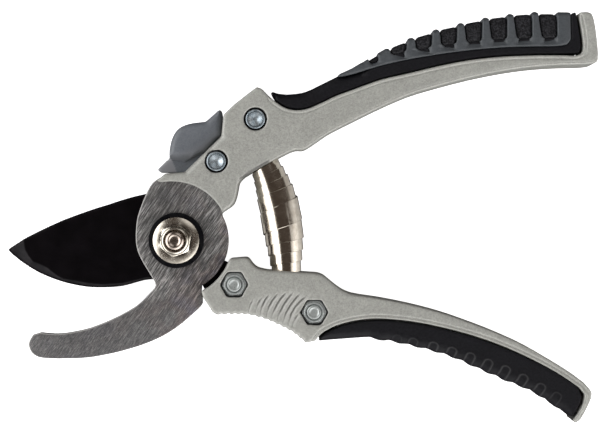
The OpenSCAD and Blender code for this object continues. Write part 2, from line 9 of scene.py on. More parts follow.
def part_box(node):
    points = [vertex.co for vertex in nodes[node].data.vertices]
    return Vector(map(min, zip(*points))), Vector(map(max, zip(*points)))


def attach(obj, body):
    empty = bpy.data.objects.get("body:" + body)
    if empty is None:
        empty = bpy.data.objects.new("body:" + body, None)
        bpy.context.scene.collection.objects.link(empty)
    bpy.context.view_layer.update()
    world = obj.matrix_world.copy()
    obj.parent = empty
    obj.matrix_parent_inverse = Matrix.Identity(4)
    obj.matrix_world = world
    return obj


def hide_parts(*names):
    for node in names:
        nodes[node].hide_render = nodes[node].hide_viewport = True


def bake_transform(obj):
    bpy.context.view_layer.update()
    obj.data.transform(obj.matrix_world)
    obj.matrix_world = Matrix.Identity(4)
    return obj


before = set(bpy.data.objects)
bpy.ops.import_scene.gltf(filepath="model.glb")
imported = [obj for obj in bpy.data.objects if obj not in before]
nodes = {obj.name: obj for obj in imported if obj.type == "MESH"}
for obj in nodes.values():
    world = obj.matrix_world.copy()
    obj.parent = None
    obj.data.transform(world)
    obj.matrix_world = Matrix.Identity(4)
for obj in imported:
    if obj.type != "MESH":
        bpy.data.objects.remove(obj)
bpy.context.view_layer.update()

mm = 0.001
print("frame loaded")

# Levels and axes that the pieces share, taken from the frame
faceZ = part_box("upper_handle")[1].z
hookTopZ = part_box("hook")[1].z
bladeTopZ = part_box("blade")[1].z


def axisOf(node):
    low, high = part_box(node)
    return ((low + high) / 2).xy


screwAxes = {end: axisOf("hook_screw_" + end) for end in ("front", "rear")}
nutAxes = {end: axisOf("blade_nut_" + end) for end in ("front", "rear")}


def addObject(name, data):
    made = bpy.data.objects.new(name, data)
    bpy.context.scene.collection.objects.link(made)
    return made


# Helpers for the nodes of light and materials

def newMaterial(name, colour, metallic=0.0, roughness=0.5, specular=0.5):
    material = bpy.data.materials.new(name)
    material.use_nodes = True
    shader = material.node_tree.nodes["Principled BSDF"]
    shader.inputs["Base Color"].default_value = (*colour, 1)
    shader.inputs["Metallic"].default_value = metallic
    shader.inputs["Roughness"].default_value = roughness
    shader.inputs["Specular IOR Level"].default_value = specular
    return material, shader


def newNode(tree, kind, **values):
    made = tree.nodes.new(kind)
    for key, value in values.items():
        if hasattr(made, key):
            setattr(made, key, value)
        else:
            made.inputs[key.replace("_", " ")].default_value = value
    return made


def link(start, end):
    start.id_data.links.new(start, end)


# Colours over a value, from stops of (place, colour) or (place, brightness)
def ramp(value, *stops):
    made = newNode(value.id_data, "ShaderNodeValToRGB")
    elements = made.color_ramp.elements
    while len(elements) < len(stops):
        elements.new(0.5)
    for element, (place, colour) in zip(elements, stops):
        element.position = place
        element.color = (*colour, 1) if isinstance(colour, tuple) else (colour, colour, colour, 1)
    link(value, made.inputs["Fac"])
    return made.outputs["Color"]


def joined(operation, first, second):
    made = newNode(first.id_data, "ShaderNodeVectorMath", operation=operation)
    link(first, made.inputs[0])
    if isinstance(second, bpy.types.NodeSocket):
        link(second, made.inputs[1])
    else:
        made.inputs[1].default_value = second
    return made.outputs["Value" if operation == "DOT_PRODUCT" else "Vector"]


# Camera, floor and light

view = {"width": 204 * mm, "height": 460 * mm, "middle": (42.4 * mm, 9.4 * mm), "sensor": 36.0}
# The sky is dim and warm overhead. Each soft panel is a direction and its brightness by how near a ray comes to it
studio = {"middle": (0.04, 0, 0), "floorZ": -0.4 * mm, "floorGlow": 0.95, "floorSize": 1.5,
          "overhead": (0.075, 0.06, 0.051),
          "panels": [((-1.0, 0.08, 0.0), [(0.48, 0.0), (0.64, 2.6), (0.85, 2.6), (1.0, 1.5)]),
                     ((0.72, -0.69, 0.0), [(0.48, 0.0), (0.62, 1.3), (0.78, 2.6), (0.92, 2.4), (1.0, 1.6)]),
                     ((0.33, 0.6, 0.73), [(0.93, 0), (0.98, 0.9)]),
                     ((0.1, -1.0, 0.1), [(0.45, 0.0), (0.75, 0.8), (1.0, 0.8)])],
          "height": [(0.44, 0.2), (0.58, 0.8), (0.7, 1.0)],
          "low": ((1.0, 0.15, -0.55), [(0.8, 0.0), (0.9, 0.55)]),
          "boxSize": 0.8,
          "boxes": [("left_box", (-0.75, 0.2, 0.55), 2.0), ("right_box", (0.8, -0.3, 0.5), 1.2)]}


def makeCamera():
    data = bpy.data.cameras.new("shears_camera")
    data.sensor_width = view["sensor"]
    data.lens = view["sensor"] * view["height"] / view["width"]
    data.clip_start = 0.01
    camera = addObject("shears_camera", data)
    camera.location = (*view["middle"], faceZ + view["height"])
    bpy.context.scene.camera = camera


def makeFloor():
    mesh = bpy.data.meshes.new("floor")
    bm = bmesh.new()
    bmesh.ops.create_grid(bm, x_segments=1, y_segments=1, size=studio["floorSize"])
    bm.to_mesh(mesh)
    bm.free()
    floor = addObject("floor", mesh)
    floor.location = (*studio["middle"][:2], studio["floorZ"])
    paper, shader = newMaterial("pale_paper", (0.9, 0.9, 0.9), roughness=0.9)
    shader.inputs["Emission Color"].default_value = (1, 1, 1, 1)
    shader.inputs["Emission Strength"].default_value = studio["floorGlow"]
    mesh.materials.append(paper)
    floor.visible_diffuse = False                       # the paper's glow doesn't light the object from below
    floor.visible_glossy = False


def makeLight(name, place, watts):
    data = bpy.data.lights.new(name, "AREA")
    data.size = studio["boxSize"]
    data.energy = watts
    lamp = addObject(name, data)
    lamp.location = place
    lamp.rotation_euler = (Vector(studio["middle"]) - Vector(place)).to_track_quat("-Z", "Y").to_euler()


def makeWorld():
    world = bpy.data.worlds.new("studio")
    world.use_nodes = True
    tree = world.node_tree
    ray = newNode(tree, "ShaderNodeTexCoord").outputs["Generated"]

    def glow(aim, stops):
        return ramp(joined("DOT_PRODUCT", ray, Vector(aim).normalized()), *stops)

    total = glow(*studio["panels"][0])
    for panel in studio["panels"][1:]:
        total = joined("ADD", total, glow(*panel))
    total = joined("ADD", total, studio["overhead"])
    parts = newNode(tree, "ShaderNodeSeparateXYZ")
    height = newNode(tree, "ShaderNodeMapRange", From_Min=-1)       # from straight down to straight up as 0 to 1
    link(ray, parts.inputs[0])
    link(parts.outputs["Z"], height.inputs["Value"])
    total = joined("MULTIPLY", total, ramp(height.outputs[0], *studio["height"]))
    total = joined("ADD", total, glow(*studio["low"]))
    link(total, tree.nodes["Background"].inputs["Color"])
    bpy.context.scene.world = world


bpy.context.scene.view_settings.view_transform = "Standard"
makeCamera()
makeFloor()
makeWorld()
for box in studio["boxes"]:
    makeLight(*box)
print("camera, floor and light made")


# Helpers for the pieces: copies of the frame's shapes, made finer and rounded

def copied(node):
    bm = bmesh.new()
    bm.from_mesh(nodes[node].data)
    bmesh.ops.remove_doubles(bm, verts=bm.verts, dist=1e-6)
    bm.normal_update()
    return bm


def remeshed(bm, voxel):
    mesh = bpy.data.meshes.new("rough")
    bm.to_mesh(mesh)
    bm.free()
    holder = addObject("rough", mesh)
    voxels = holder.modifiers.new("voxels", "REMESH")
    voxels.mode = "VOXEL"
    voxels.voxel_size = voxel
    fine = bpy.data.meshes.new_from_object(holder.evaluated_get(bpy.context.evaluated_depsgraph_get()))
    bpy.data.objects.remove(holder)
    bpy.data.meshes.remove(mesh)
    out = bmesh.new()
    out.from_mesh(fine)
    bpy.data.meshes.remove(fine)
    return out


def places(bm):
    return np.array([v.co for v in bm.verts])


def put(bm, co):
    for v, c in zip(bm.verts, co):
        v.co = c


def smoothed(bm, times, factor=0.5):
    for step in range(times):
        bmesh.ops.smooth_vert(bm, verts=bm.verts, factor=factor, use_axis_x=True, use_axis_y=True, use_axis_z=True)


# Puts the vertices at their places, smooths them and gives the new places
def settled(bm, co, times, factor=0.5):
    put(bm, co)
    smoothed(bm, times, factor)
    return places(bm)


def refine(bm, mask):
    chosen = {v for v, m in zip(bm.verts, mask) if m}
    edges = [e for e in bm.edges if e.verts[0] in chosen and e.verts[1] in chosen]
    bmesh.ops.subdivide_edges(bm, edges=edges, cuts=1, use_grid_fill=True)


# The edges where a flat face at one level meets the sides, each with its flat face
def flatEdges(bm, level):
    found = []
    for edge in bm.edges:
        if len(edge.link_faces) == 2 and not any(abs(v.co.z - level) > 1e-5 for v in edge.verts):
            flats = [f for f in edge.link_faces if abs(f.normal.z) > 0.999]
            if len(flats) == 1:
                found.append((edge, flats[0]))
    return found


# The same edges as rows of numbers: starts, ends and outward directions
def rimOf(bm, level, keep=None):
    rows = []
    for edge, flat in flatEdges(bm, level):
        a, b = edge.verts[0].co.xy, edge.verts[1].co.xy
        along = (b - a).normalized()
        out = Vector((along.y, -along.x))
        if out.dot(flat.calc_center_median().xy - a) > 0:
            out.negate()
        if keep is None or keep((a + b) / 2, out):
            rows.append((*a, *b, *out))
    return np.array(rows)


# The middle of a rim's row, and its outward direction
def spotOf(row):
    return Vector((row[0] + row[2], row[1] + row[3])) / 2, Vector(row[4:6])


def radii(rim, choose):
    return np.array([choose(*spotOf(row)) for row in rim])


# The rims of a piece's top and bottom face, each with its level and the way it looks
def rimsOf(bm, low, high, keep=None):
    return [(rimOf(bm, high, keep), high, 1), (rimOf(bm, low, keep), low, -1)]


# Nearest place on a set of segments, with its distance and the segment's number
def nearest(points, starts, ends):
    best = np.full(len(points), 1e9)
    foot = np.zeros((len(points), 2))
    which = np.zeros(len(points), int)
    for k in range(len(starts)):
        line = ends[k] - starts[k]
        t = np.clip((points - starts[k]) @ line / (line @ line), 0, 1)
        at = starts[k] + t[:, None] * line
        gap = np.hypot(*(points - at).T)
        closer = gap < best
        best[closer] = gap[closer]
        foot[closer] = at[closer]
        which[closer] = k
    return foot, best, which


# Lines are lists of (x, y) in millimetres
def lineRows(points):
    dots = np.array(points) * mm
    return dots[:-1], dots[1:]


def toLine(co, points):
    return nearest(co[:, :2], *lineRows(points))[1]


def toRim(co, rim):
    return nearest(co[:, :2], rim[:, 0:2], rim[:, 2:4])[1]


def toAxis(co, at=(0, 0)):
    return np.hypot(co[:, 0] - at[0], co[:, 1] - at[1])


# The second number of a line where its first is x
def alongLine(x, points):
    return np.interp(x, *zip(*points))


# 1 in the middle, falling off to both sides
def bell(gap, wide):
    return np.exp(-(gap / wide) ** 2)


# Rolls the edge of a flat face over to a radius. up is 1 for a face that looks up and -1 for one that looks down
def rollEdge(co, rim, level, up, radius):
    zone = np.where((co[:, 2] - level) * up > -float(np.max(radius)))[0]
    spots = co[zone]
    foot, gap, which = nearest(spots[:, :2], rim[:, 0:2], rim[:, 2:4])
    out = rim[which, 4:6]
    inner = gap > 0.3 * mm                              # nearer ones are taken by the rim's own direction
    away = foot - spots[:, :2]
    sure = inner & ((away * out).sum(1) > 0)
    out[sure] = away[sure] / gap[sure][:, None]
    r = radius[which] if np.ndim(radius) else np.full(len(zone), radius)
    depth = np.where(inner, gap, np.maximum((away * out).sum(1), 0))
    across = r - depth
    height = (spots[:, 2] - level) * up + r
    bent = (across > 0) & (height > 0)
    length = np.hypot(across, height) + 1e-12
    flat = foot - out * r[:, None] + out * (r * across / length)[:, None]
    moved = np.column_stack([flat, level - up * r + up * r * height / length])
    co[zone[bent]] = moved[bent]


def rollRims(co, rims, choose):
    for rim, level, up in rims:
        rollEdge(co, rim, level, up, radii(rim, choose))


# sharp is the angle in degrees from which an edge isn't shaded smooth
def finished(bm, name, body, replaced, sharp=None):
    mesh = bpy.data.meshes.new(name)
    bmesh.ops.recalc_face_normals(bm, faces=bm.faces)
    for face in bm.faces:
        face.smooth = True
    if sharp is not None:
        for edge in bm.edges:
            if len(edge.link_faces) == 2 and edge.calc_face_angle(0) > math.radians(sharp):
                edge.smooth = False
    bm.to_mesh(mesh)
    bm.free()
    piece = addObject(name, mesh)
    if body is not None:
        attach(piece, body)
    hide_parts(*replaced)
    return piece


# Writes one number per vertex, which a material reads by name
def paint(piece, name, values):
    layer = piece.data.attributes.new(name, "FLOAT", "POINT")
    layer.data.foreach_set("value", np.ascontiguousarray(values, dtype=np.float32))


def meshPlaces(piece, what="co"):
    values = np.empty(len(piece.data.vertices) * 3, dtype=np.float32)
    piece.data.vertices.foreach_get(what, values)
    return values.reshape(-1, 3)


# The two cast handles. Both have a fine line inside the seat of the grip

handleCast = {"voxel": 0.42 * mm, "round": 1.0 * mm, "seatRound": 0.45 * mm, "backRound": 2.4 * mm, "smooth": 3,
              "lineAt": 1.15 * mm, "lineDeep": 0.28 * mm, "lineWide": 0.26 * mm,
              "fineDeep": 0.8 * mm, "fineWide": 2.4 * mm, "carveDeep": 1.6 * mm}
upperCast = {**handleCast, "catchRound": 2.2 * mm, "hookRound": 0.25 * mm, "ridgeAt": 0.9 * mm,
             "ridgeDeep": 0.12 * mm, "ridgeFine": 2.6 * mm, "screwSeat": 4.9 * mm, "nutSeat": 5.6 * mm,
             "hookDisc": 20.8 * mm}
lowerCast = {**handleCast, "toothRound": 1.1 * mm, "gripRound": 0.55 * mm, "nutSeat": 5.6 * mm,
             "grooveDeep": 0.6 * mm, "grooveWide": 0.34 * mm, "grooveStart": 2 * mm, "grooveEnd": 3.5 * mm,
             "ridgeHigh": 0.2 * mm, "ridgeAt": 0.75 * mm, "ridgeWide": 0.3 * mm, "toothFine": 1.3 * mm,
             "grooveBox": (23 * mm, 46.5 * mm, -32 * mm, -16 * mm), "grooveBoxDeep": 2.6 * mm}
grooves = [
    [(26.7, -19.4), (25.6, -21.6), (24.9, -24)],
    [(29.7, -18.9), (28.2, -21.3), (27.3, -24.2)],
    [(32.3, -17.9), (30.5, -20.2), (29.4, -22.6), (28.9, -25)],
    [(35.3, -17.5), (33.1, -20.2), (31.8, -22.5), (31, -25.6)],
    [(38.2, -17.2), (36.1, -19.4), (34.6, -21.7), (33.3, -24.3), (32.6, -26.2)],
    [(40.5, -17), (38.4, -19.6), (36.9, -21.7), (35.4, -24.7), (34.7, -27)],
    [(42.8, -17.6), (40.8, -19.8), (39.1, -22.1), (37.6, -24.7), (36.6, -28)],
    [(45, -18.5), (42.5, -20.6), (40.8, -22.5), (39.5, -24.7), (38.4, -28.6)],
    [(42.2, -24.3), (41, -26.2), (40.3, -27.4), (39.8, -29.2)],
]
toothLine = [(13.4, -24.8), (25, -24.8), (35, -28.1), (44.8, -34.5)]


def isUpperSeat(at, out):
    return (33 * mm < at.x < 136.5 * mm and at.y > 43 * mm and out.y > 0.2) or (
        at.x > 135 * mm and out.x < -0.2 and 62 * mm < at.y < 76.5 * mm)


def isUnderside(at, out):
    return at.x > 27 * mm and out.y < -0.3 and at.y < (at.x - 27 * mm) * 0.55 + 27 * mm


def isLowerSeat(at, out):
    return (47.5 * mm < at.x < 138 * mm and -50.5 * mm < at.y < -25 * mm and out.y < -0.2 and out.x < 0.9) or (
        at.x > 134 * mm and out.x < -0.2 and at.y < -50 * mm)


def awayFrom(rings):
    return lambda at, out: all((at - Vector(c)).length > r for c, r in rings)


def chosenRows(rim, test):
    return np.array([row for row in rim if test(*spotOf(row))])


# zone tells what else is made finer, and carve shapes it. Both are given the rim of the front
def castHandle(node, body, cast, frontRings, backRings, isSeat, choose, zone, carve):
    source = copied(node)
    front = rimOf(source, faceZ, awayFrom(frontRings))
    back = rimOf(source, 0, awayFrom(backRings))
    seat = chosenRows(front, isSeat)
    bm = remeshed(source, cast["voxel"])
    co = places(bm)
    nearSeat = (co[:, 2] > faceZ - cast["fineDeep"]) & (toRim(co, seat) < cast["fineWide"])
    refine(bm, nearSeat | zone(co, front))
    smoothed(bm, 1)
    co = places(bm)
    rollEdge(co, front, faceZ, 1, radii(front, choose))
    rollEdge(co, back, 0, -1, cast["backRound"])
    co = settled(bm, co, cast["smooth"])
    top = co[:, 2] > faceZ - cast["carveDeep"]
    spots = co[top]
    spots[:, 2] -= cast["lineDeep"] * bell(toRim(spots, seat) - cast["lineAt"], cast["lineWide"])
    carve(spots, front)
    co[top] = spots
    settled(bm, co, 1, 0.3)
    return finished(bm, node + "_cast", body, [node])


def chooseUpper(at, out):
    if isUpperSeat(at, out):
        return upperCast["seatRound"]
    if at.length < 21.5 * mm and out.dot(at) < 0:
        return upperCast["hookRound"]
    if out.x < 0 and out.y > 0.3 and 3.5 * mm < at.x < 16.5 * mm:
        return upperCast["catchRound"]
    return upperCast["round"]


def ridgeZone(co, front):
    high = co[:, 2] > faceZ - upperCast["fineDeep"]
    return high & (co[:, 0] > 27 * mm) & (toRim(co, front) < upperCast["ridgeFine"])


def carveRidge(spots, front):
    gap = toRim(spots, chosenRows(front, isUnderside)) - upperCast["ridgeAt"]
    spots[:, 2] -= upperCast["ridgeDeep"] * bell(gap, upperCast["lineWide"])


def chooseLower(at, out):
    if isLowerSeat(at, out):
        return lowerCast["seatRound"]
    if at.x < 46 * mm and at.y < -23 * mm:
        return lowerCast["toothRound"]
    return lowerCast["gripRound"] if out.y > 0.3 and at.x > 62 * mm else lowerCast["round"]


def grooveZone(co, front):
    x, y, z = co.T
    left, right, bottom, top = lowerCast["grooveBox"]
    inBox = (x > left) & (x < right) & (y > bottom) & (y < top) & (z > faceZ - lowerCast["grooveBoxDeep"])
    return inBox | (toLine(co, toothLine) < lowerCast["toothFine"])


# How much each spot lies in a groove, and on the ridge to the right of one
def grooveShares(spots):
    f = lowerCast
    inside = np.zeros(len(spots))
    ridge = np.zeros(len(spots))
    for line in grooves:
        starts, ends = lineRows(line)
        fade = np.clip(toAxis(spots, starts[0]) / f["grooveStart"], 0, 1)
        fade *= np.clip(toAxis(spots, ends[-1]) / f["grooveEnd"], 0.35, 1)
        foot, gap, which = nearest(spots[:, :2], starts, ends)
        way = (ends - starts)[which]
        side = spots[:, :2] - foot
        right = np.sign(way[:, 0] * side[:, 1] - way[:, 1] * side[:, 0]) * gap
        inside = np.maximum(inside, fade * bell(gap, f["grooveWide"]))
        ridge = np.maximum(ridge, fade * bell(right - f["ridgeAt"], f["ridgeWide"]))
    return inside, ridge


def carveGrooves(spots, front):
    inside, ridge = grooveShares(spots)
    spots[:, 2] += lowerCast["ridgeHigh"] * ridge - lowerCast["grooveDeep"] * inside
    spots[:, 2] = np.minimum(spots[:, 2], faceZ)


def ringsOf(axes, radius):
    return [(at, radius) for at in axes.values()]


upperHandle = castHandle(
    "upper_handle", "hook_side", upperCast, ringsOf(screwAxes, upperCast["screwSeat"]),
    ringsOf(screwAxes, upperCast["nutSeat"]) + [((0, 0), upperCast["hookDisc"])],
    isUpperSeat, chooseUpper, ridgeZone, carveRidge)
lowerHandle = castHandle(
    "lower_handle", "blade_side", lowerCast, ringsOf(nutAxes, lowerCast["nutSeat"]),
    ringsOf(nutAxes, lowerCast["nutSeat"]), isLowerSeat, chooseLower, grooveZone, carveGrooves)
print("handles made")


# The hook: a flat steel plate with bevelled edges, apart from its bore and its tang in the handle

hookPlate = {"bevel": 0.5 * mm, "segments": 3, "bore": 5 * mm, "disc": 18.5 * mm, "sharp": 20}


def inHookTang(at):
    return at.x > 2 * mm and at.y > 15 * mm


def makeHook():
    bm = copied("hook")
    bmesh.ops.dissolve_limit(bm, angle_limit=math.radians(0.5), verts=bm.verts, edges=bm.edges)
    bm.normal_update()
    edges = []
    for level, free in ((hookTopZ, hookPlate["bore"]), (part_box("hook")[0].z, hookPlate["disc"])):
        for edge, flat in flatEdges(bm, level):
            middle = (edge.verts[0].co.xy + edge.verts[1].co.xy) / 2
            if middle.length > free and not inHookTang(middle):
                edges.append(edge)
    bmesh.ops.bevel(bm, geom=edges, offset=hookPlate["bevel"], offset_type="OFFSET",
                    segments=hookPlate["segments"], profile=0.5, affect="EDGES", clamp_overlap=False, material=-1)
    return finished(bm, "hook_plate", "hook_side", ["hook"], hookPlate["sharp"])


hook = makeHook()


# The blade: coated steel with a ground band along its edge, and a back with an even bow

bladePlate = {"voxel": 0.38 * mm, "roll": 0.3 * mm, "groundDeep": 2.3 * mm, "smooth": 2, "bowReach": 5 * mm,
              "disc": 17 * mm, "fineDeep": 0.5 * mm, "fineWide": 1.5 * mm, "fade": 1.5 * mm}
groundEdge = [(-58.8, -3.7), (-56.8, -5.5), (-51.6, -9.2), (-46.5, -12), (-39.4, -14.6), (-32.2, -16.1),
              (-26.1, -16.4), (-19, -15.9), (-10.9, -13.8), (-4, -13.6)]
groundInner = [(-54, 1.5), (-53.1, -0.2), (-52.6, -3.2), (-51.6, -5.2), (-50, -7.3), (-47, -8.5), (-45, -9.5),
               (-43.5, -10.8), (-41.4, -12.4), (-39.4, -13.4), (-35.3, -14), (-31.2, -14.8), (-26, -15.3),
               (-19, -14.9), (-10.9, -12.9), (-4, -12.6)]
# How far the bow rises at each x, in millimetres
bladeBow = [(-59, 0.2), (-52, 0.38), (-40, 0.38), (-36, 0.2), (-32, 0.06), (-30, 0.07), (-26, 0.24), (-22, 0.4),
            (-18, 0.33), (-14, 0.2), (-10, 0)]


def makeBlade():
    f = bladePlate
    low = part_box("blade")[0].z
    source = copied("blade")
    spine = rimOf(source, bladeTopZ, lambda at, out: at.x < -8 * mm and out.y > 0)
    back = rimOf(source, low, lambda at, out: at.length > f["disc"])
    bm = remeshed(source, f["voxel"])
    co = places(bm)
    refine(bm, (co[:, 0] < -9 * mm) & (toLine(co, groundInner) < f["fineWide"]) & (
        co[:, 2] > bladeTopZ - f["fineDeep"]))
    smoothed(bm, f["smooth"])
    co = places(bm)
    near = np.clip(1 - toRim(co, spine) / f["bowReach"], 0, 1)
    spine[:, [1, 3]] += alongLine(spine[:, [0, 2]] / mm, bladeBow) * mm
    co[:, 1] += alongLine(co[:, 0] / mm, bladeBow) * mm * near
    rollEdge(co, spine, bladeTopZ, 1, f["roll"])
    rollEdge(co, back, low, -1, f["roll"])
    top = np.where((co[:, 2] > bladeTopZ - f["fade"]) & (co[:, 0] < -6 * mm))[0]
    spots = co[top][:, :2]
    starts, ends = lineRows(groundInner)
    foot, gap, which = nearest(spots, starts, ends)
    way = (ends - starts)[which]
    side = spots - foot
    across = way[:, 0] * side[:, 1] - way[:, 1] * side[:, 0] < 0
    share = np.where(across, gap / (gap + toLine(spots, groundEdge) + 1e-6), 0)
    co[top, 2] -= share * f["groundDeep"] * np.clip((co[top, 2] - bladeTopZ) / f["fade"] + 1, 0, 1)
    settled(bm, co, 1, 0.3)
    return finished(bm, "blade_plate", "blade_side", ["blade"])


blade = makeBlade()
print("hook and blade made")


# The grips and the grey frame

gripForm = {"voxel": 0.45 * mm, "round": 3.0 * mm, "seatRound": 0.5 * mm, "padRound": 1.6 * mm,
            "padStep": 0.5 * mm, "smooth": 3,
            "close": 0.6 * mm, "closeWay": (0.51, 0.86), "closeFrom": 121, "closeTo": 138}
frameForm = {"voxel": 0.4 * mm, "topRound": 2.0 * mm, "round": 0.6 * mm, "fineDeep": 2 * mm, "smooth": 3}
archForm = {"high": 0.3 * mm, "wide": 0.22 * mm, "top": 1.5, "long": 3.6, "bend": 7, "fineWide": 1.1 * mm,
            "sideDeep": 3 * mm, "paleArchLines": 0.5}
# The arches of the lower grip: x and y in millimetres, turn in degrees and strength
archPlaces = [(75.5, -33.2, -14, 0.3), (81, -34.3, -17, 0.6), (88, -35.6, -20, 1), (94.3, -37.4, -23, 1),
              (100.6, -39.3, -25, 1), (106.6, -41.5, -27, 1), (112.6, -43.7, -28, 1), (118.6, -46.6, -30, 1),
              (124.6, -49.7, -31, 0.9), (130, -52.8, -32, 0.45)]
# The ribs of the grey frame narrow upwards, and the windows between them have rounded floors. Millimetres
ribForm = {"first": 71.7, "pitch": 8.6, "last": 7, "half": 1.65, "narrow": 0.27, "tall": 6.0, "lean": 0.1,
           "fillet": 1.4, "crown": 0.6, "crownTall": 3, "lift": 1.0, "liftBelow": 0.8, "liftAbove": 2.5,
           "dip": 0.85, "dipWide": 0.65, "dipTall": 3.5, "seam": 0.55, "seamWide": 0.45, "floorSeam": 0.5}
sillLine = [(54.5, 57.3), (60, 58.3), (70, 61.3), (80, 63.5), (90, 65.2), (100, 66.5), (110, 67.4), (120, 67.8),
            (130, 67.9), (134, 68.6)]
ribTops = [(60, 58.7), (71.5, 65.5), (80, 69.2), (88.5, 72.1), (97, 74.3), (105.5, 76.2), (114.3, 77.5), (123, 78.2),
           (134.5, 78)]


# Height over the window floor, signed distance from the nearest rib's middle, and which spots lie among the ribs
def ribPlaces(co):
    f = ribForm
    x, y = co[:, 0] / mm, co[:, 1] / mm
    height = y - alongLine(x, sillLine) - f["lift"]
    base = x + height * np.tan(np.radians((x - f["first"]) * f["lean"]))
    middle = f["first"] + f["pitch"] * np.clip(np.round((base - f["first"]) / f["pitch"]), 0, f["last"])
    among = (base > f["first"]) & (base < f["first"] + f["pitch"] * f["last"])
    return height, base - middle, among


# Half the width of a rib at a height over the window floor
def ribEdge(height):
    f = ribForm
    t = np.clip(height / f["tall"], 0, 1)
    low = np.clip(height, 0, f["fillet"])
    fillet = f["fillet"] - np.sqrt(f["fillet"] ** 2 - (f["fillet"] - low) ** 2)
    return f["half"] * (1 - f["narrow"] * t) + fillet * np.clip(1 + height, 0, 1)


# Shapes the ribs, and the pads between them by as much
def ribWarp(co):
    height, off, among = ribPlaces(co)
    away = np.abs(off)
    edge = ribEdge(height)
    reach = ribForm["pitch"] / 2
    half = ribForm["half"]
    new = np.where(away < half, away * edge / half, edge + (away - half) * (reach - edge) / (reach - half))
    co[:, 0] += np.where(among & (height > -1), np.sign(off) * (new - away), 0) * mm


# The window floors rise a little above the places where the frame was cut
def raiseFloors(co):
    f = ribForm
    height, off, among = ribPlaces(co)
    foot = -f["lift"] - f["liftBelow"]
    raised = np.interp(height, [foot, -f["lift"], f["liftAbove"]], [foot, 0, f["liftAbove"]])
    inside = among & (height > foot) & (height < f["liftAbove"])
    co[:, 1] += np.where(inside, raised - height, 0) * mm


# Rounds the top of each rib, instead of letting it follow the slope of the whole row
def ribCrowns(co):
    height, off, among = ribPlaces(co)
    edge = ribEdge(height)
    x = co[:, 0] / mm
    crest = alongLine(x, ribTops) - co[:, 1] / mm
    slope = alongLine(x + 0.5, ribTops) - alongLine(x - 0.5, ribTops)
    share = np.clip(1 - crest / ribForm["crownTall"], 0, 1) * (np.abs(off) < edge + 0.5) * among * (height > 1)
    co[:, 1] -= share * (slope * off + ribForm["crown"] * (off / edge) ** 2) * mm


# Dips and seams of the soft pads between the ribs
def padShape(co, bottom, top):
    f = ribForm
    height, off, among = ribPlaces(co)
    gap = np.abs(off) - ribEdge(height)
    pad = among & (height > 0.1) & (gap > -0.6)
    gap = np.maximum(gap, 0)
    crest = alongLine(co[:, 0] / mm, ribTops) - co[:, 1] / mm
    near = bell(gap, f["dipWide"]) * np.clip(1 - crest / f["dipTall"], 0, 1)
    co[:, 1] -= np.where(pad, f["dip"] * near, 0) * mm
    seam = f["seam"] * mm * np.maximum(bell(gap, f["seamWide"]), bell(height, f["floorSeam"]))
    co[:, 2] = np.where(pad & (co[:, 2] > top - seam), top - seam, co[:, 2])
    co[:, 2] = np.where(pad & (co[:, 2] < bottom + seam), bottom + seam, co[:, 2])
    return pad


def makeUpperGrip():
    low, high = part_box("upper_grip")
    padTop = high.z - gripForm["padStep"]
    padBottom = low.z + high.z - padTop
    source = copied("upper_grip")
    rims = rimsOf(source, low.z, high.z, lambda at, out: at.x < 62 * mm or at.x > 135.5 * mm or out.y < 0)
    pads = rimsOf(source, padBottom, padTop, lambda at, out: out.y > 0.5)
    bm = remeshed(source, gripForm["voxel"])
    smoothed(bm, 1)
    co = places(bm)

    def choose(at, out):
        seated = out.y < 0.1 and at.x > 34 * mm
        return gripForm["seatRound"] if seated or at.x > 130 * mm else gripForm["round"]

    rollRims(co, rims, choose)
    rollRims(co, pads, lambda at, out: gripForm["padRound"])
    ribWarp(co)
    put(bm, co)
    smoothed(bm, gripForm["smooth"])
    height, off, among = ribPlaces(places(bm))
    refine(bm, among & (height > -0.3) & (np.abs(off) > 1))
    co = places(bm)
    knurled = padShape(co, padBottom, padTop)
    put(bm, co)
    smoothed(bm, 1, 0.3)
    made = finished(bm, "upper_grip_rubber", "hook_side", ["upper_grip"])
    paint(made, "knurl", knurled)
    return made


def makeGripFrame():
    low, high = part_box("upper_grip_frame")
    source = copied("upper_grip_frame")
    rims = rimsOf(source, low.z, high.z)
    bm = remeshed(source, frameForm["voxel"])
    smoothed(bm, 1)
    co = places(bm)
    height, off, among = ribPlaces(co)
    refine(bm, among & (height > -1) & (co[:, 2] > high.z - frameForm["fineDeep"]))
    co = places(bm)

    def choose(at, out):
        return frameForm["topRound"] if out.y > 0.8 and at.x > 62 * mm else frameForm["round"]

    rollRims(co, rims, choose)
    raiseFloors(co)
    ribWarp(co)
    ribCrowns(co)
    settled(bm, co, frameForm["smooth"])
    return finished(bm, "grip_frame", "hook_side", ["upper_grip_frame"])


# An arch is an upside-down U on the side of the lower grip
def archLine(x, y, turn):
    half, n = archForm["top"], archForm["bend"]
    dots = [(-half * math.cos(math.pi * k / n), half * 0.7 * math.sin(math.pi * k / n)) for k in range(n + 1)]
    dots = [(-half, -archForm["long"]), *dots, (half, -archForm["long"])]
    c, s = math.cos(math.radians(turn)), math.sin(math.radians(turn))
    return [(x + c * px - s * py, y + s * px + c * py) for px, py in dots]


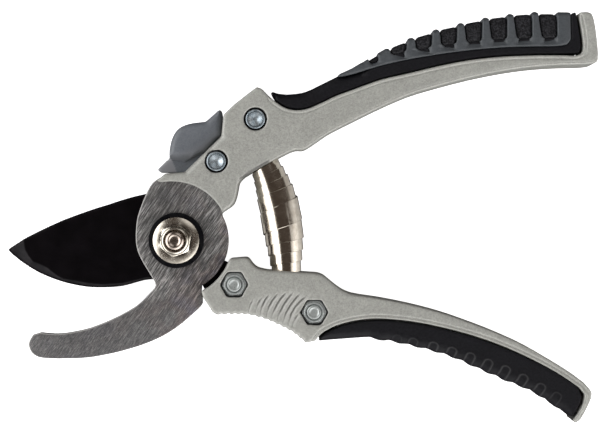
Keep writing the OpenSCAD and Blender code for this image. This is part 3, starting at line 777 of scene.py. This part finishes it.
def makeLowerGrip():
    f = gripForm
    low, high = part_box("lower_grip")
    source = copied("lower_grip")
    rims = rimsOf(source, low.z, high.z)
    bm = remeshed(source, f["voxel"])
    co = places(bm)
    arches = [(archLine(x, y, turn), strength) for x, y, turn, strength in archPlaces]
    near = np.min([toLine(co, line) for line, strength in arches], axis=0)
    sides = (co[:, 2] > high.z - archForm["sideDeep"]) | (co[:, 2] < low.z + archForm["sideDeep"])
    refine(bm, (near < archForm["fineWide"]) & sides)
    smoothed(bm, 1)
    co = places(bm)

    def choose(at, out):
        return f["seatRound"] if out.y > -0.1 or at.x > 134 * mm and out.x > 0.3 else f["round"]

    rollRims(co, rims, choose)
    co = settled(bm, co, f["smooth"])
    normals = np.array([v.normal for v in bm.verts])
    for line, strength in arches:
        rise = strength * archForm["high"] * bell(toLine(co, line), archForm["wide"])
        co[:, 2] += rise * np.clip(normals[:, 2] * 2, -1, 1)
    # At its end the grip closes up to the handle, so nothing shows through the joint
    facing = np.clip(normals[:, :2] @ np.array(f["closeWay"]) * 2 - 0.6, 0, 1)
    x = co[:, 0] / mm
    share = np.clip((x - f["closeFrom"]) / 5, 0, 1) * np.clip((f["closeTo"] - x) / 1.5, 0, 1) * facing
    co[:, :2] += f["close"] * np.outer(share, f["closeWay"])
    put(bm, co)
    made = finished(bm, "lower_grip_rubber", "blade_side", ["lower_grip"])
    co = meshPlaces(made)
    # Paler lines along the arches on the grip's sides
    paleArchLines = np.max([strength * bell(toLine(co, line), archForm["wide"]) for line, strength in arches], axis=0)
    paint(made, "paleArchLines", archForm["paleArchLines"] * paleArchLines * (np.abs(co[:, 2] - (low.z + high.z) / 2) > 2 * mm))
    return made


upperGrip = makeUpperGrip()
gripFrame = makeGripFrame()
lowerGrip = makeLowerGrip()
print("grips made")


# The catch. Its dome runs right down at its lower end, and only dips where it meets the handle

catchForm = {"voxel": 0.32 * mm, "domeRound": 2.2 * mm, "slope": 3.0 * mm, "dip": 0.7 * mm, "smooth": 5,
             "deepUpTo": 2 * mm, "dipFrom": 6 * mm}
catchFoot = [(14.2, 35.2), (9.8, 30.9), (2.4, 27.1), (-1.8, 27.7)]


def makeCatch():
    f = catchForm
    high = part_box("catch")[1]
    source = copied("catch")
    dome = rimOf(source, high.z)
    bm = remeshed(source, f["voxel"])
    smoothed(bm, 1)
    co = places(bm)
    rollEdge(co, dome, high.z, 1, f["domeRound"])
    foot = np.interp(co[:, 0], [f["deepUpTo"], f["dipFrom"]], [bladeTopZ, high.z - f["dip"]])
    climb = np.sin(np.clip(toLine(co, catchFoot) / f["slope"], 0, 1) * math.pi / 2)
    slope = foot + (high.z - foot) * climb
    co[:, 2] = np.where(co[:, 2] > bladeTopZ, np.minimum(co[:, 2], slope), co[:, 2])
    settled(bm, co, f["smooth"])
    return finished(bm, "catch_lever_body", "catch_lever", ["catch"])


catch = makeCatch()
print("catch made")


# Screws, nuts and washers: profiles turned about their own axis. Radii and heights are in millimetres

# A hexagon's side from its middle, in the direction of each spot. A corner points along X before it is turned
def hexReach(x, y, across, turn=0):
    way = (np.degrees(np.arctan2(y, x)) - turn + 30) % 60 - 30
    return across / 2 * mm / np.cos(np.radians(30 - np.abs(way)))


# A profile of (radius, height) turned about an axis through at. hexagon is its bottom, top and width, and its turn
def turned(profile, at, steps, hexagon=None, turn=0):
    bm = bmesh.new()
    verts = [bm.verts.new((r * mm, 0, z * mm)) for r, z in profile]
    edges = [bm.edges.new(pair) for pair in zip(verts, verts[1:])]
    bmesh.ops.spin(bm, geom=verts + edges, cent=(0, 0, 0), axis=(0, 0, 1), angle=2 * math.pi, steps=steps,
                   use_merge=True)
    bmesh.ops.remove_doubles(bm, verts=bm.verts, dist=1e-6)
    if hexagon is not None:
        low, high, across = hexagon
        for v in bm.verts:
            if low * mm - 1e-7 <= v.co.z <= high * mm + 1e-7:
                v.co.xy *= min(1, hexReach(v.co.x, v.co.y, across) / v.co.xy.length)
    bmesh.ops.rotate(bm, verts=bm.verts, cent=(0, 0, 0), matrix=Matrix.Rotation(math.radians(turn), 3, "Z"))
    bmesh.ops.translate(bm, verts=bm.verts, vec=(at[0], at[1], 0))
    return bm


# The outer wall and chamfers of a hexagonal nut, from its bottom to its top
def hexWall(low, high, across, chamfer=0.5, rings=4):
    point = across / 2 / math.cos(math.radians(30))
    inner = across / 2 * turning["chamferIn"]
    rise = [(inner + (point - inner) * k / rings, chamfer * k / rings) for k in range(rings + 1)]
    return [(r, low + z) for r, z in rise] + [(r, high - z) for r, z in reversed(rise)]


turning = {"round": 96, "nut": 120, "sharp": 35, "chamferIn": 0.97}
thinHex = (0.1, 2.7, 8)
bladeHex = (11.2, 14.0, 8)
hexSocket = {"across": 3, "reach": 1.63, "top": 1.36}
# Each kind with its body, its axes, its steps, its hexagon and its profile
hardwareKinds = {
    "hook_screw": ("hook_side", screwAxes, turning["round"], None, [
        (0, 0.2), (2.4, 0.2), (2.5, 0.35), (2.5, 13.1), (3.2, 13.1), (3.3, 13.25), (3.3, 14.45), (3.22, 14.6),
        (3.1, 14.68), (2.86, 14.68), (2.76, 14.58), (2.68, 14.4), (2.58, 14.38), (2.48, 14.5), (2.3, 14.46),
        (1.6, 14.22), (0.9, 13.98), (0.35, 13.82), (0, 13.8)]),
    "hook_nut": ("hook_side", screwAxes, turning["nut"], thinHex, [
        (2.56, 0.55), (2.9, 0.1), *hexWall(*thinHex, 0.45), (2.9, 2.7), (2.56, 2.35), (2.56, 0.55)]),
    "blade_nut": ("blade_side", nutAxes, turning["nut"], bladeHex, [
        (2.56, 11.5), (2.9, 11.2), *hexWall(*bladeHex), (3.55, 14.02), (3.4, 14.3), (3.2, 14.4), (3.0, 14.38),
        (2.85, 14.2), (2.72, 14.0), (2.56, 13.7), (2.56, 11.5)]),
    "blade_screw": ("blade_side", nutAxes, turning["nut"], None, [
        (0, 1.35), (1.5, 1.35), (1.6, 1.15), (1.62, 0.35), (1.9, 0.1), (3.9, 0.1), (4.1, 0.2), (4.2, 0.4),
        (4.2, 2.5), (4.1, 2.6), (2.5, 2.6), (2.5, 13.2), (2.38, 13.35), (2.5, 13.5), (2.38, 13.65), (2.5, 13.8),
        (2.38, 13.95), (2.48, 14.1), (2.3, 14.4), (2.1, 14.5), (1.7, 14.5), (1.45, 14.3), (0.9, 14.2), (0, 14.2)]),
}
pivotForm = {"turn": 20, "across": 10, "sharp": 28, "hexLow": 12.9, "hexHigh": 15.62, "thread": 0.4,
             "threadFrom": 16.0, "threadTo": 17.7}


# Gives the round socket in the head of a screw its six sides
def pressSocket(bm, at):
    for v in bm.verts:
        side = v.co.xy - Vector(at)
        if 1e-6 < side.length < hexSocket["reach"] * mm and v.co.z < hexSocket["top"] * mm:
            v.co.xy = Vector(at) + side * min(1, hexReach(side.x, side.y, hexSocket["across"]) / side.length)


def makeHardware(kind, end):
    body, axes, around, hexagon, profile = hardwareKinds[kind]
    bm = turned(profile, axes[end], around, hexagon)
    if kind == "blade_screw":
        pressSocket(bm, axes[end])
    name = kind + "_" + end
    return finished(bm, name + "_turned", body, [name], turning["sharp"])


def makePivot(node, profile, around, sharp=turning["sharp"], hexagon=None, turn=0):
    bm = turned(profile, (0, 0), around, hexagon, turn)
    return finished(bm, node + "_turned", "hook_side", [node], sharp)


def boltProfile():
    profile = [(0, 0.12), (1.2, 0.1), (3.2, 0.12), (3.4, 0.3), (3.7, 0.3), (3.9, 0.1), (6.9, 0), (7.3, 0.15),
               (7.5, 0.45), (7.5, 3.1), (7.4, 3.2), (3, 3.2), (3, 16.0)]
    z = pivotForm["threadFrom"]
    while z < pivotForm["threadTo"]:
        profile += [(2.86, z + 0.14), (2.86, z + 0.2), (3, z + 0.34), (3, z + 0.4)]
        z += pivotForm["thread"]
    return profile + [(2.75, 18.15), (2.45, 18.36), (2.2, 18.4), (1.9, 18.32), (1.7, 18.15), (1.2, 18.05), (0, 18.02)]


flange = [(3.06, 12), (3.4, 11.7), (7.7, 11.7), (7.95, 11.85), (8, 12.1), (7.9, 12.3), (7.4, 12.5), (6.6, 12.72),
          (6.0, 12.86), (5.7, 13.0)]
nutWall = [(5.77, 13.1), (5.77, 14.0), (5.77, 14.9), *((5.77 - 0.2 * k, 15 + 0.12 * k) for k in range(1, 6))]
nutCollar = [(4.72, 15.65), (4.74, 16.1), (4.62, 16.5), (4.35, 16.78), (4.05, 16.9), (3.75, 16.84), (3.55, 16.62),
             (3.5, 16.2), (3.35, 15.9), (3.06, 15.8), (3.06, 12)]
washer = [(3.06, 10.7), (9.4, 10.7), (9.5, 10.85), (9.5, 11.35), (9.4, 11.58), (9.15, 11.7), (3.06, 11.7),
          (3.06, 10.7)]
hookScrews, hookNuts, bladeNuts, bladeScrews = (
    [makeHardware(kind, end) for end in ("front", "rear")] for kind in hardwareKinds)
pivotBolt = makePivot("pivot_bolt", boltProfile(), turning["round"])
pivotNut = makePivot("pivot_nut", flange + nutWall + nutCollar, turning["nut"], pivotForm["sharp"],
                     (pivotForm["hexLow"], pivotForm["hexHigh"], pivotForm["across"]), pivotForm["turn"])
pivotWasher = makePivot("pivot_washer", washer, turning["round"])
print("screws, nuts and washers made")


# The spring: a flat strip wound in a double cone, on a curved axis between the two handles. Millimetres and turns

springForm = {"start": Vector((29.2334, 27.7242)), "bend": Vector((37.6, 12.6303)), "end": Vector((37.6, -12.6)),
              "radius": 7.0, "step": 0.5, "turns": 4.5, "width": 6.0, "thick": 0.4, "corner": 0.1, "gap": 0.3,
              "jump": 3.5, "jumpSoft": 0.5, "perTurn": 60, "middleZ": 7.4, "topTurn": 0.25, "wider": 0.32,
              "widerTurns": 0.55, "sharp": 30,
              "upperSeat": (28.7 * mm, 28.6 * mm, 7.4 * mm), "lowerSeat": (37.6 * mm, -13.6 * mm, 7.4 * mm)}


# Gives the place of a corner of the strip at u turns from its middle
def springPath():
    f = springForm
    startSpeed = 2 * (f["bend"] - f["start"]).length
    endSpeed = 2 * (f["end"] - f["bend"]).length
    length = (startSpeed + endSpeed) / 2

    def jump(u):
        return f["jump"] * u / math.sqrt(f["jumpSoft"] + u * u)

    lead = ((length - f["width"] - 2 * f["gap"]) / 2 - jump(f["turns"])) / f["turns"]

    def corner(u, along, out):
        u0 = u - f["topTurn"] * (1 - (u / f["turns"]) ** 2)
        along *= 1 + f["wider"] * math.exp(-(u0 / f["widerTurns"]) ** 2)
        s = length / 2 + lead * u0 + jump(u0) + along
        t = 2 * s / (startSpeed + math.sqrt(startSpeed ** 2 + 2 * (endSpeed - startSpeed) * s))
        way = (2 * (1 - t) * (f["bend"] - f["start"]) + 2 * t * (f["end"] - f["bend"])).normalized()
        side = Vector((-way.y, way.x))
        at = (1 - t) ** 2 * f["start"] + 2 * t * (1 - t) * f["bend"] + t * t * f["end"]
        r = f["radius"] - f["step"] * abs(u0) + out
        at = at + side * r * math.cos(2 * math.pi * u)
        return Vector((at.x, at.y, f["middleZ"] + r * math.sin(2 * math.pi * u))) * mm

    return corner


def makeSpring():
    f = springForm
    corner = springPath()
    w, t, c = f["width"] / 2, f["thick"] / 2, f["corner"]
    ring = [(-w, -t + c), (-w + c, -t), (w - c, -t), (w, -t + c), (w, t - c), (w - c, t), (-w + c, t), (-w, t - c)]
    sides = range(len(ring))
    steps = int(2 * f["turns"] * f["perTurn"])
    bm = bmesh.new()
    ends = [bm.verts.new(corner(-f["turns"], *p)) for p in ring]
    current = [bm.edges.new((ends[k], ends[(k + 1) % len(ring)])) for k in sides]
    bm.faces.new(ends)
    for step in range(1, steps + 1):
        u = f["turns"] * (2 * step / steps - 1)
        made = bmesh.ops.extrude_edge_only(bm, edges=current)
        moved = {}
        for item in made["geom"]:
            if isinstance(item, bmesh.types.BMVert):
                moved[min(sides, key=lambda k: (item.co - ends[k].co).length_squared)] = item
        ends = [moved[k] for k in sides]
        for k, v in enumerate(ends):
            v.co = corner(u, *ring[k])
        current = [bm.edges.get((ends[k], ends[(k + 1) % len(ring)])) for k in sides]
    bm.faces.new(list(reversed(ends)))
    piece = finished(bm, "spring_strip", None, ["spring"], f["sharp"])
    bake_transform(piece)
    return piece


spring = makeSpring()
print("spring made")


# What the materials read from each piece: numbers from 0 to 1 at its vertices. Several of them are painted shade and
# painted highlights

handleShading = {"holeShade": 0.75, "screwRing": 4.15 * mm, "nutRing": 5.4 * mm, "springWide": 0.55 * mm,
              "gripEnd": 0.85, "grooveShade": 0.5, "ridgeHighlight": 0.9, "toothHighlight": 0.12, "toothWide": 4.5 * mm}
springShadow = [(21.3, 20.9), (25.5, 23.4), (31.5, 26.8)]
hookShadingAndStreaks = {"ring": 0.75, "ringFrom": 9.5, "ringFade": 0.9, "left": 0.28, "bevelHighlight": 0.75,
            "streaks": (1.6, 0.12, 0.9)}
nutShading = {"foot": 0.85, "footWide": 0.22 * mm, "collar": 0.8, "collarAt": 4.72 * mm, "collarWide": 0.12 * mm,
           "slotAt": 2.58 * mm, "slotWide": 0.1 * mm, "slot": 0.8, "rim": 0.85, "rimFrom": 0.87, "rimTurn": 8}


# Painted shade: 1 on the walls of the holes that the screws or nuts sit in
def holeWalls(co, axes, radius):
    near = np.min([toAxis(co, at) for at in axes.values()], axis=0)
    return ((near < radius) & (co[:, 2] > 5 * mm) & (co[:, 2] < faceZ - 0.35 * mm)).astype(float)


def paintUpperHandle():
    f = handleShading
    co = meshPlaces(upperHandle)
    # Painted shade in the screw holes, and a painted shadow of the spring along the handle's lower edge
    underSpring = f["holeShade"] * bell(toLine(co, springShadow), f["springWide"]) * (co[:, 2] < faceZ - 0.12 * mm)
    paint(upperHandle, "painted_shade", np.maximum(holeWalls(co, screwAxes, f["screwRing"]), underSpring))


def paintLowerHandle():
    f = handleShading
    co = meshPlaces(lowerHandle)
    x, y, z = co.T
    front = z > faceZ - 3 * mm
    # Painted shade in the nut pockets, in the recess at the grip's end and in the grooves
    gripEnd = (x > 126 * mm) & (x < 137 * mm) & (z < faceZ - 0.9 * mm) & (y + 0.5 * x < 21 * mm)
    inside, ridge = grooveShares(co)
    painted_shade = np.maximum(holeWalls(co, nutAxes, f["nutRing"]), f["gripEnd"] * gripEnd)
    paint(lowerHandle, "painted_shade", np.maximum(painted_shade, f["grooveShade"] * inside * front))
    # Painted highlight on the ridge beside each groove and along the rounded toothed edge
    toothBand = np.clip(1.1 - toLine(co, toothLine) / f["toothWide"], 0, 1)
    painted_highlight = np.maximum(f["ridgeHighlight"] * ridge * (1 - inside), f["toothHighlight"] * toothBand)
    paint(lowerHandle, "painted_highlight", painted_highlight * front)


def paintHook():
    f = hookShadingAndStreaks
    co = meshPlaces(hook)
    x, y, z = co.T
    away = toAxis(co)
    paint(hook, "tint", np.clip((x - y * 0.6) / (18 * mm), 0.15, 1))
    # Painted shadow round the pivot washer, and painted shade on the left of the disc
    ring = f["ring"] * np.exp(-np.clip(away / mm - f["ringFrom"], 0, 9) / f["ringFade"])
    left = f["left"] * np.clip((-x - 1 * mm) / (10 * mm), 0, 1) * (y > -14 * mm)
    paint(hook, "painted_shade", np.maximum(ring, left))
    # Painted highlight on the bevels that face left, and on those that face up left of x = -10 mm
    normals = meshPlaces(hook, "normal")
    onBevel = (z > hookTopZ - 0.45 * mm) & (z < hookTopZ - 0.02 * mm)
    lit = np.maximum(np.clip(-normals[:, 0] * 1.5, 0, 1), np.clip(normals[:, 1] * 1.5, 0, 1) * (x < -10 * mm))
    paint(hook, "painted_highlight", f["bevelHighlight"] * onBevel * lit)
    most, low, high = f["streaks"]
    paint(hook, "streaks", np.clip(most - away / (20 * mm), low, high))


def paintBlade():
    x, y, z = meshPlaces(blade).T
    paint(blade, "ground", np.clip((bladeTopZ - z) / (0.12 * mm), 0, 1) * (z > 4.3 * mm) * (x < -9 * mm))


# Painted light: the horn at the left is lighter, and so is the slope down to the handle's edge
def paintCatch():
    co = meshPlaces(catch)
    x, y, z = co.T
    horn = (x + 0.42 * (y - 24.2 * mm) < -0.4 * mm) & (z < bladeTopZ + 0.4 * mm)
    slope = (z > bladeTopZ + 0.2 * mm) * np.clip(1.2 - toLine(co, catchFoot) / catchForm["slope"], 0, 1)
    paint(catch, "light", np.maximum(horn, 0.55 * slope))


# Painted shade at the foot of the pivot nut and round its collar, and in the rings of the hook's screws
def paintPivotNut():
    f = nutShading
    co = meshPlaces(pivotNut)
    away = toAxis(co)
    flat = hexReach(co[:, 0], co[:, 1], pivotForm["across"], pivotForm["turn"])
    foot = bell(np.abs(away - flat), f["footWide"]) * (co[:, 2] < 14.5 * mm)
    collar = bell(away - f["collarAt"], f["collarWide"]) * (co[:, 2] > 15.2 * mm)
    paint(pivotNut, "painted_shade", np.clip(f["foot"] * foot + f["collar"] * collar, 0, 1))


def paintHookScrew(piece, at):
    co = meshPlaces(piece)
    # Painted shade in the groove between the head's ring and its cone
    slot = bell(toAxis(co, at) - nutShading["slotAt"], nutShading["slotWide"])
    paint(piece, "painted_shade", nutShading["slot"] * slot * (co[:, 2] > 13.5 * mm))


# Painted shade: the rims of the blade's nuts are dark where they face down and to the left
def paintBladeNut(piece, at):
    f = nutShading
    co = meshPlaces(piece)
    x, y = co[:, 0] - at[0], co[:, 1] - at[1]
    away = np.hypot(x, y)
    onRim = away > f["rimFrom"] * hexReach(x, y, 8, f["rimTurn"])
    paint(piece, "painted_shade", f["rim"] * onRim * np.clip(-(0.6 * x + 0.8 * y) / away * 2 + 0.6, 0.25, 1))


# Painted shade, painted highlights and other marks are written to the pieces
paintUpperHandle()
paintLowerHandle()
paintHook()
paintBlade()
paintCatch()
paintPivotNut()
for screw, nut, end in zip(hookScrews, bladeNuts, ("front", "rear")):
    paintHookScrew(screw, screwAxes[end])
    paintBladeNut(nut, nutAxes[end])
print("wear painted")


# Materials. Every pattern is laid out on Object coordinates, in metres

# Object coordinates, turned about Z and then stretched
def where(material, scale=(1, 1, 1), turn=0):
    tree = material.node_tree
    start = newNode(tree, "ShaderNodeTexCoord")
    spun = newNode(tree, "ShaderNodeMapping", Rotation=(0, 0, math.radians(turn)))
    stretched = newNode(tree, "ShaderNodeMapping", Scale=scale)
    link(start.outputs["Object"], spun.inputs["Vector"])
    link(spun.outputs["Vector"], stretched.inputs["Vector"])
    return stretched.outputs["Vector"]


def noise(at, scale, detail=3.0, roughness=0.5):
    made = newNode(at.id_data, "ShaderNodeTexNoise", Scale=scale, Detail=detail, Roughness=roughness)
    link(at, made.inputs["Vector"])
    return made.outputs["Fac"]


def mixed(share, a, b, way="MIX"):
    tree = (a if isinstance(share, float) else share).id_data
    made = newNode(tree, "ShaderNodeMix", data_type="RGBA", blend_type=way)
    for socket, value in ((made.inputs[0], share), (made.inputs[6], a), (made.inputs[7], b)):
        if isinstance(value, bpy.types.NodeSocket):
            link(value, socket)
        elif isinstance(value, tuple):
            socket.default_value = (*value, 1)
        else:
            socket.default_value = value
    return made.outputs[2]


# Darkens and lightens a colour by a pattern
def mottled(base, share, value, *stops):
    return mixed(share, base, ramp(value, *stops), "MULTIPLY")


# What paint() wrote under a name, read in the tree that the first socket is in
def painted(beside, name):
    return newNode(beside.id_data, "ShaderNodeAttribute", attribute_name=name).outputs["Fac"]


# Mixes a colour in by a painted attribute; it carries painted shade and painted highlights as well as streaks, tints
# and knurls
def mixedByAttribute(base, name, colour):
    return mixed(painted(base, name), base, colour)


def bump(shader, value, strength, distance, before=None):
    made = newNode(value.id_data, "ShaderNodeBump", Strength=strength, Distance=distance)
    link(value, made.inputs["Height"])
    if before is not None:
        link(before, made.inputs["Normal"])
    link(made.outputs["Normal"], shader.inputs["Normal"])
    return made.outputs["Normal"]


# Sets a shader's colour, and its roughness by a pattern
def surface(shader, base, value, low, high):
    link(base, shader.inputs["Base Color"])
    link(ramp(value, (0.3, low), (0.7, high)), shader.inputs["Roughness"])


def handlePaint():
    material, shader = newMaterial("handle_paint_grain", (0.36, 0.36, 0.34), 0.2, 0.42)
    at = where(material)
    grain = noise(at, 2600, 2)
    cloud = noise(at, 240, 4)
    fleck = noise(at, 1100, 3, 0.6)
    base = ramp(grain, (0.3, (0.29, 0.292, 0.272)), (0.7, (0.42, 0.423, 0.392)))
    base = mottled(base, 0.35, cloud, (0.3, 0.82), (0.7, 1.12))
    base = mottled(base, 0.3, fleck, (0.35, 0.75), (0.65, 1.2))
    # Painted highlight, then painted shade, from the piece's attributes
    base = mixedByAttribute(base, "painted_highlight", (0.52, 0.52, 0.5))
    base = mixedByAttribute(base, "painted_shade", (0.012, 0.012, 0.012))
    surface(shader, base, grain, 0.36, 0.5)
    rough = bump(shader, grain, 0.25, 0.00004)
    bump(shader, fleck, 0.2, 0.00005, rough)
    return material


# Coarse strands near the disc give way to finer hairs along the arm
def hookSteel():
    material, shader = newMaterial("hook_brushed_steel", (0.3, 0.29, 0.28), 0.35, 0.45)
    at = where(material)
    strands = noise(where(material, (260, 3300, 900), -56), 1.0, 3, 0.6)
    bands = noise(where(material, (130, 1500, 500), -50), 1.0, 3, 0.6)
    hairs = noise(where(material, (700, 3900, 900), -50), 1.0, 3, 0.7)
    blotch = noise(at, 110, 3)
    grit = noise(at, 2400, 2)
    base = ramp(strands, (0.39, (0.058, 0.056, 0.055)), (0.52, (0.175, 0.171, 0.168)),
                (0.65, (0.56, 0.55, 0.54)))
    base = mottled(base, 0.5, bands, (0.35, 0.7), (0.65, 1.25))
    fine = ramp(hairs, (0.36, (0.062, 0.062, 0.064)), (0.52, (0.115, 0.114, 0.116)),
                (0.68, (0.25, 0.246, 0.246)))
    base = mixedByAttribute(fine, "streaks", base)
    base = mottled(base, 0.5, grit, (0.35, 0.7), (0.65, 1.3))
    tints = (0.4, (1, 1, 1)), (0.52, (1.08, 0.96, 0.93)), (0.62, (0.98, 0.93, 1.04))
    base = mixedByAttribute(base, "tint", mottled(base, 1.0, blotch, *tints))
    # Painted shade, then painted highlight, from the piece's attributes
    base = mixedByAttribute(base, "painted_shade", (0.02, 0.02, 0.018))
    base = mixedByAttribute(base, "painted_highlight", (0.62, 0.61, 0.59))
    surface(shader, base, strands, 0.55, 0.34)
    first = bump(shader, strands, 0.35, 0.00005)
    bump(shader, bands, 0.25, 0.00006, first)
    return material


def bladeCoating():
    material, shader = newMaterial("blade_black_coating", (0.003, 0.002, 0.003), 0.0, 0.4, 0.05)
    at = where(material)
    grain = noise(at, 1800, 3)
    cloud = noise(at, 160, 4)
    base = ramp(cloud, (0.35, (0.0016, 0.0012, 0.0016)), (0.7, (0.0034, 0.0026, 0.0034)))
    ground = ramp(cloud, (0.35, (0.010, 0.010, 0.011)), (0.65, (0.026, 0.024, 0.026)))
    base = mixedByAttribute(base, "ground", ground)
    surface(shader, base, grain, 0.36, 0.5)
    bump(shader, grain, 0.2, 0.00003)
    return material


def rubber():
    material, shader = newMaterial("grip_black_rubber", (0.013, 0.013, 0.015), 0.0, 0.5, 0.16)
    at = where(material)
    grain = noise(at, 1500, 3, 0.6)
    cloud = noise(at, 180, 3)
    crumbs = noise(at, 1800, 2, 0.7)
    base = ramp(grain, (0.3, (0.0028, 0.0028, 0.004)), (0.7, (0.009, 0.0088, 0.0112)))
    base = mottled(base, 0.4, cloud, (0.3, 0.7), (0.7, 1.3))
    knurled = ramp(crumbs, (0.42, (0.003, 0.003, 0.004)), (0.64, (0.03, 0.03, 0.034)))
    base = mixedByAttribute(base, "knurl", knurled)
    base = mixedByAttribute(base, "paleArchLines", (0.06, 0.06, 0.062))
    surface(shader, base, grain, 0.45, 0.62)
    fine = bump(shader, grain, 0.35, 0.00006)
    bump(shader, mixed(painted(crumbs, "knurl"), (0.5, 0.5, 0.5), crumbs), 0.8, 0.0002, fine)
    return material


def plastic(name, dark, light, roughness):
    material, shader = newMaterial(name, light, 0.0, roughness, 0.45)
    at = where(material)
    grain = noise(at, 1700, 3, 0.6)
    cloud = noise(at, 150, 3)
    base = ramp(grain, (0.3, dark), (0.7, light))
    base = mottled(base, 0.3, cloud, (0.3, 0.85), (0.7, 1.15))
    # Painted light on the catch's horn and slope; none on the grip frame
    base = mixedByAttribute(base, "light", (0.23, 0.235, 0.25))
    surface(shader, base, grain, roughness - 0.06, roughness + 0.08)
    bump(shader, grain, 0.25, 0.00004)
    return material


def plated(name, dark, light, roughness, scale=420, metal=1.0, withPaintedShade=True):
    material, shader = newMaterial(name, light, metal, roughness)
    at = where(material)
    cloud = noise(at, scale, 4, 0.6)
    fine = noise(at, scale * 5, 2)
    base = ramp(cloud, (0.35, dark), (0.65, light))
    # Painted shade in the pieces' corners and grooves
    if withPaintedShade:
        base = mixedByAttribute(base, "painted_shade", tuple(0.12 * c for c in dark))
    surface(shader, base, fine, roughness * 0.75, roughness * 1.4)
    bump(shader, cloud, 0.05, 0.00003)
    return material


def washerBlack():
    material, shader = newMaterial("washer_black_oxide", (0.006, 0.006, 0.007), 0.0, 0.5, 0.04)
    cloud = noise(where(material), 500, 3)
    base = ramp(cloud, (0.3, (0.002, 0.002, 0.003)), (0.7, (0.008, 0.008, 0.009)))
    surface(shader, base, cloud, 0.28, 0.45)
    bump(shader, cloud, 0.15, 0.00004)
    return material


# Every attribute that a piece's material reads is there, as 0 where nothing was painted
def wear(material, *pieces):
    read = [n.attribute_name for n in material.node_tree.nodes if n.bl_idname == "ShaderNodeAttribute"]
    for piece in pieces:
        piece.data.materials.clear()
        piece.data.materials.append(material)
        for name in read:
            if name not in piece.data.attributes:
                paint(piece, name, np.zeros(len(piece.data.vertices)))


wear(handlePaint(), upperHandle, lowerHandle)
wear(hookSteel(), hook)
wear(bladeCoating(), blade)
wear(rubber(), upperGrip, lowerGrip)
wear(plastic("grip_grey_plastic", (0.042, 0.047, 0.053), (0.06, 0.067, 0.074), 0.5), gripFrame)
wear(plastic("catch_grey_plastic", (0.112, 0.122, 0.138), (0.144, 0.157, 0.175), 0.42), catch)
wear(plated("zinc_plate_blue", (0.22, 0.27, 0.305), (0.5, 0.56, 0.6), 0.26, 520, 0.75), *hookScrews, *hookNuts)
wear(plated("zinc_plate_plain", (0.32, 0.39, 0.44), (0.46, 0.54, 0.59), 0.25, withPaintedShade=False), nodes["catch_bush"])
wear(plated("zinc_plate_dull", (0.33, 0.352, 0.347), (0.44, 0.468, 0.46), 0.32, 420, 0.5), *bladeNuts, *bladeScrews)
wear(plated("nickel_plate_warm", (0.52, 0.48, 0.41), (0.7, 0.65, 0.57), 0.2), pivotNut)
wear(plated("nickel_plate_plain", (0.6, 0.55, 0.47), (0.78, 0.72, 0.63), 0.25, withPaintedShade=False), nodes["thrust_washer"])
wear(plated("nickel_plate_brown", (0.36, 0.3, 0.26), (0.56, 0.48, 0.42), 0.22), pivotBolt)
wear(washerBlack(), pivotWasher)
wear(plated("spring_nickel_strip", (0.58, 0.52, 0.44), (0.76, 0.7, 0.61), 0.13, 300), spring)
print("materials made")
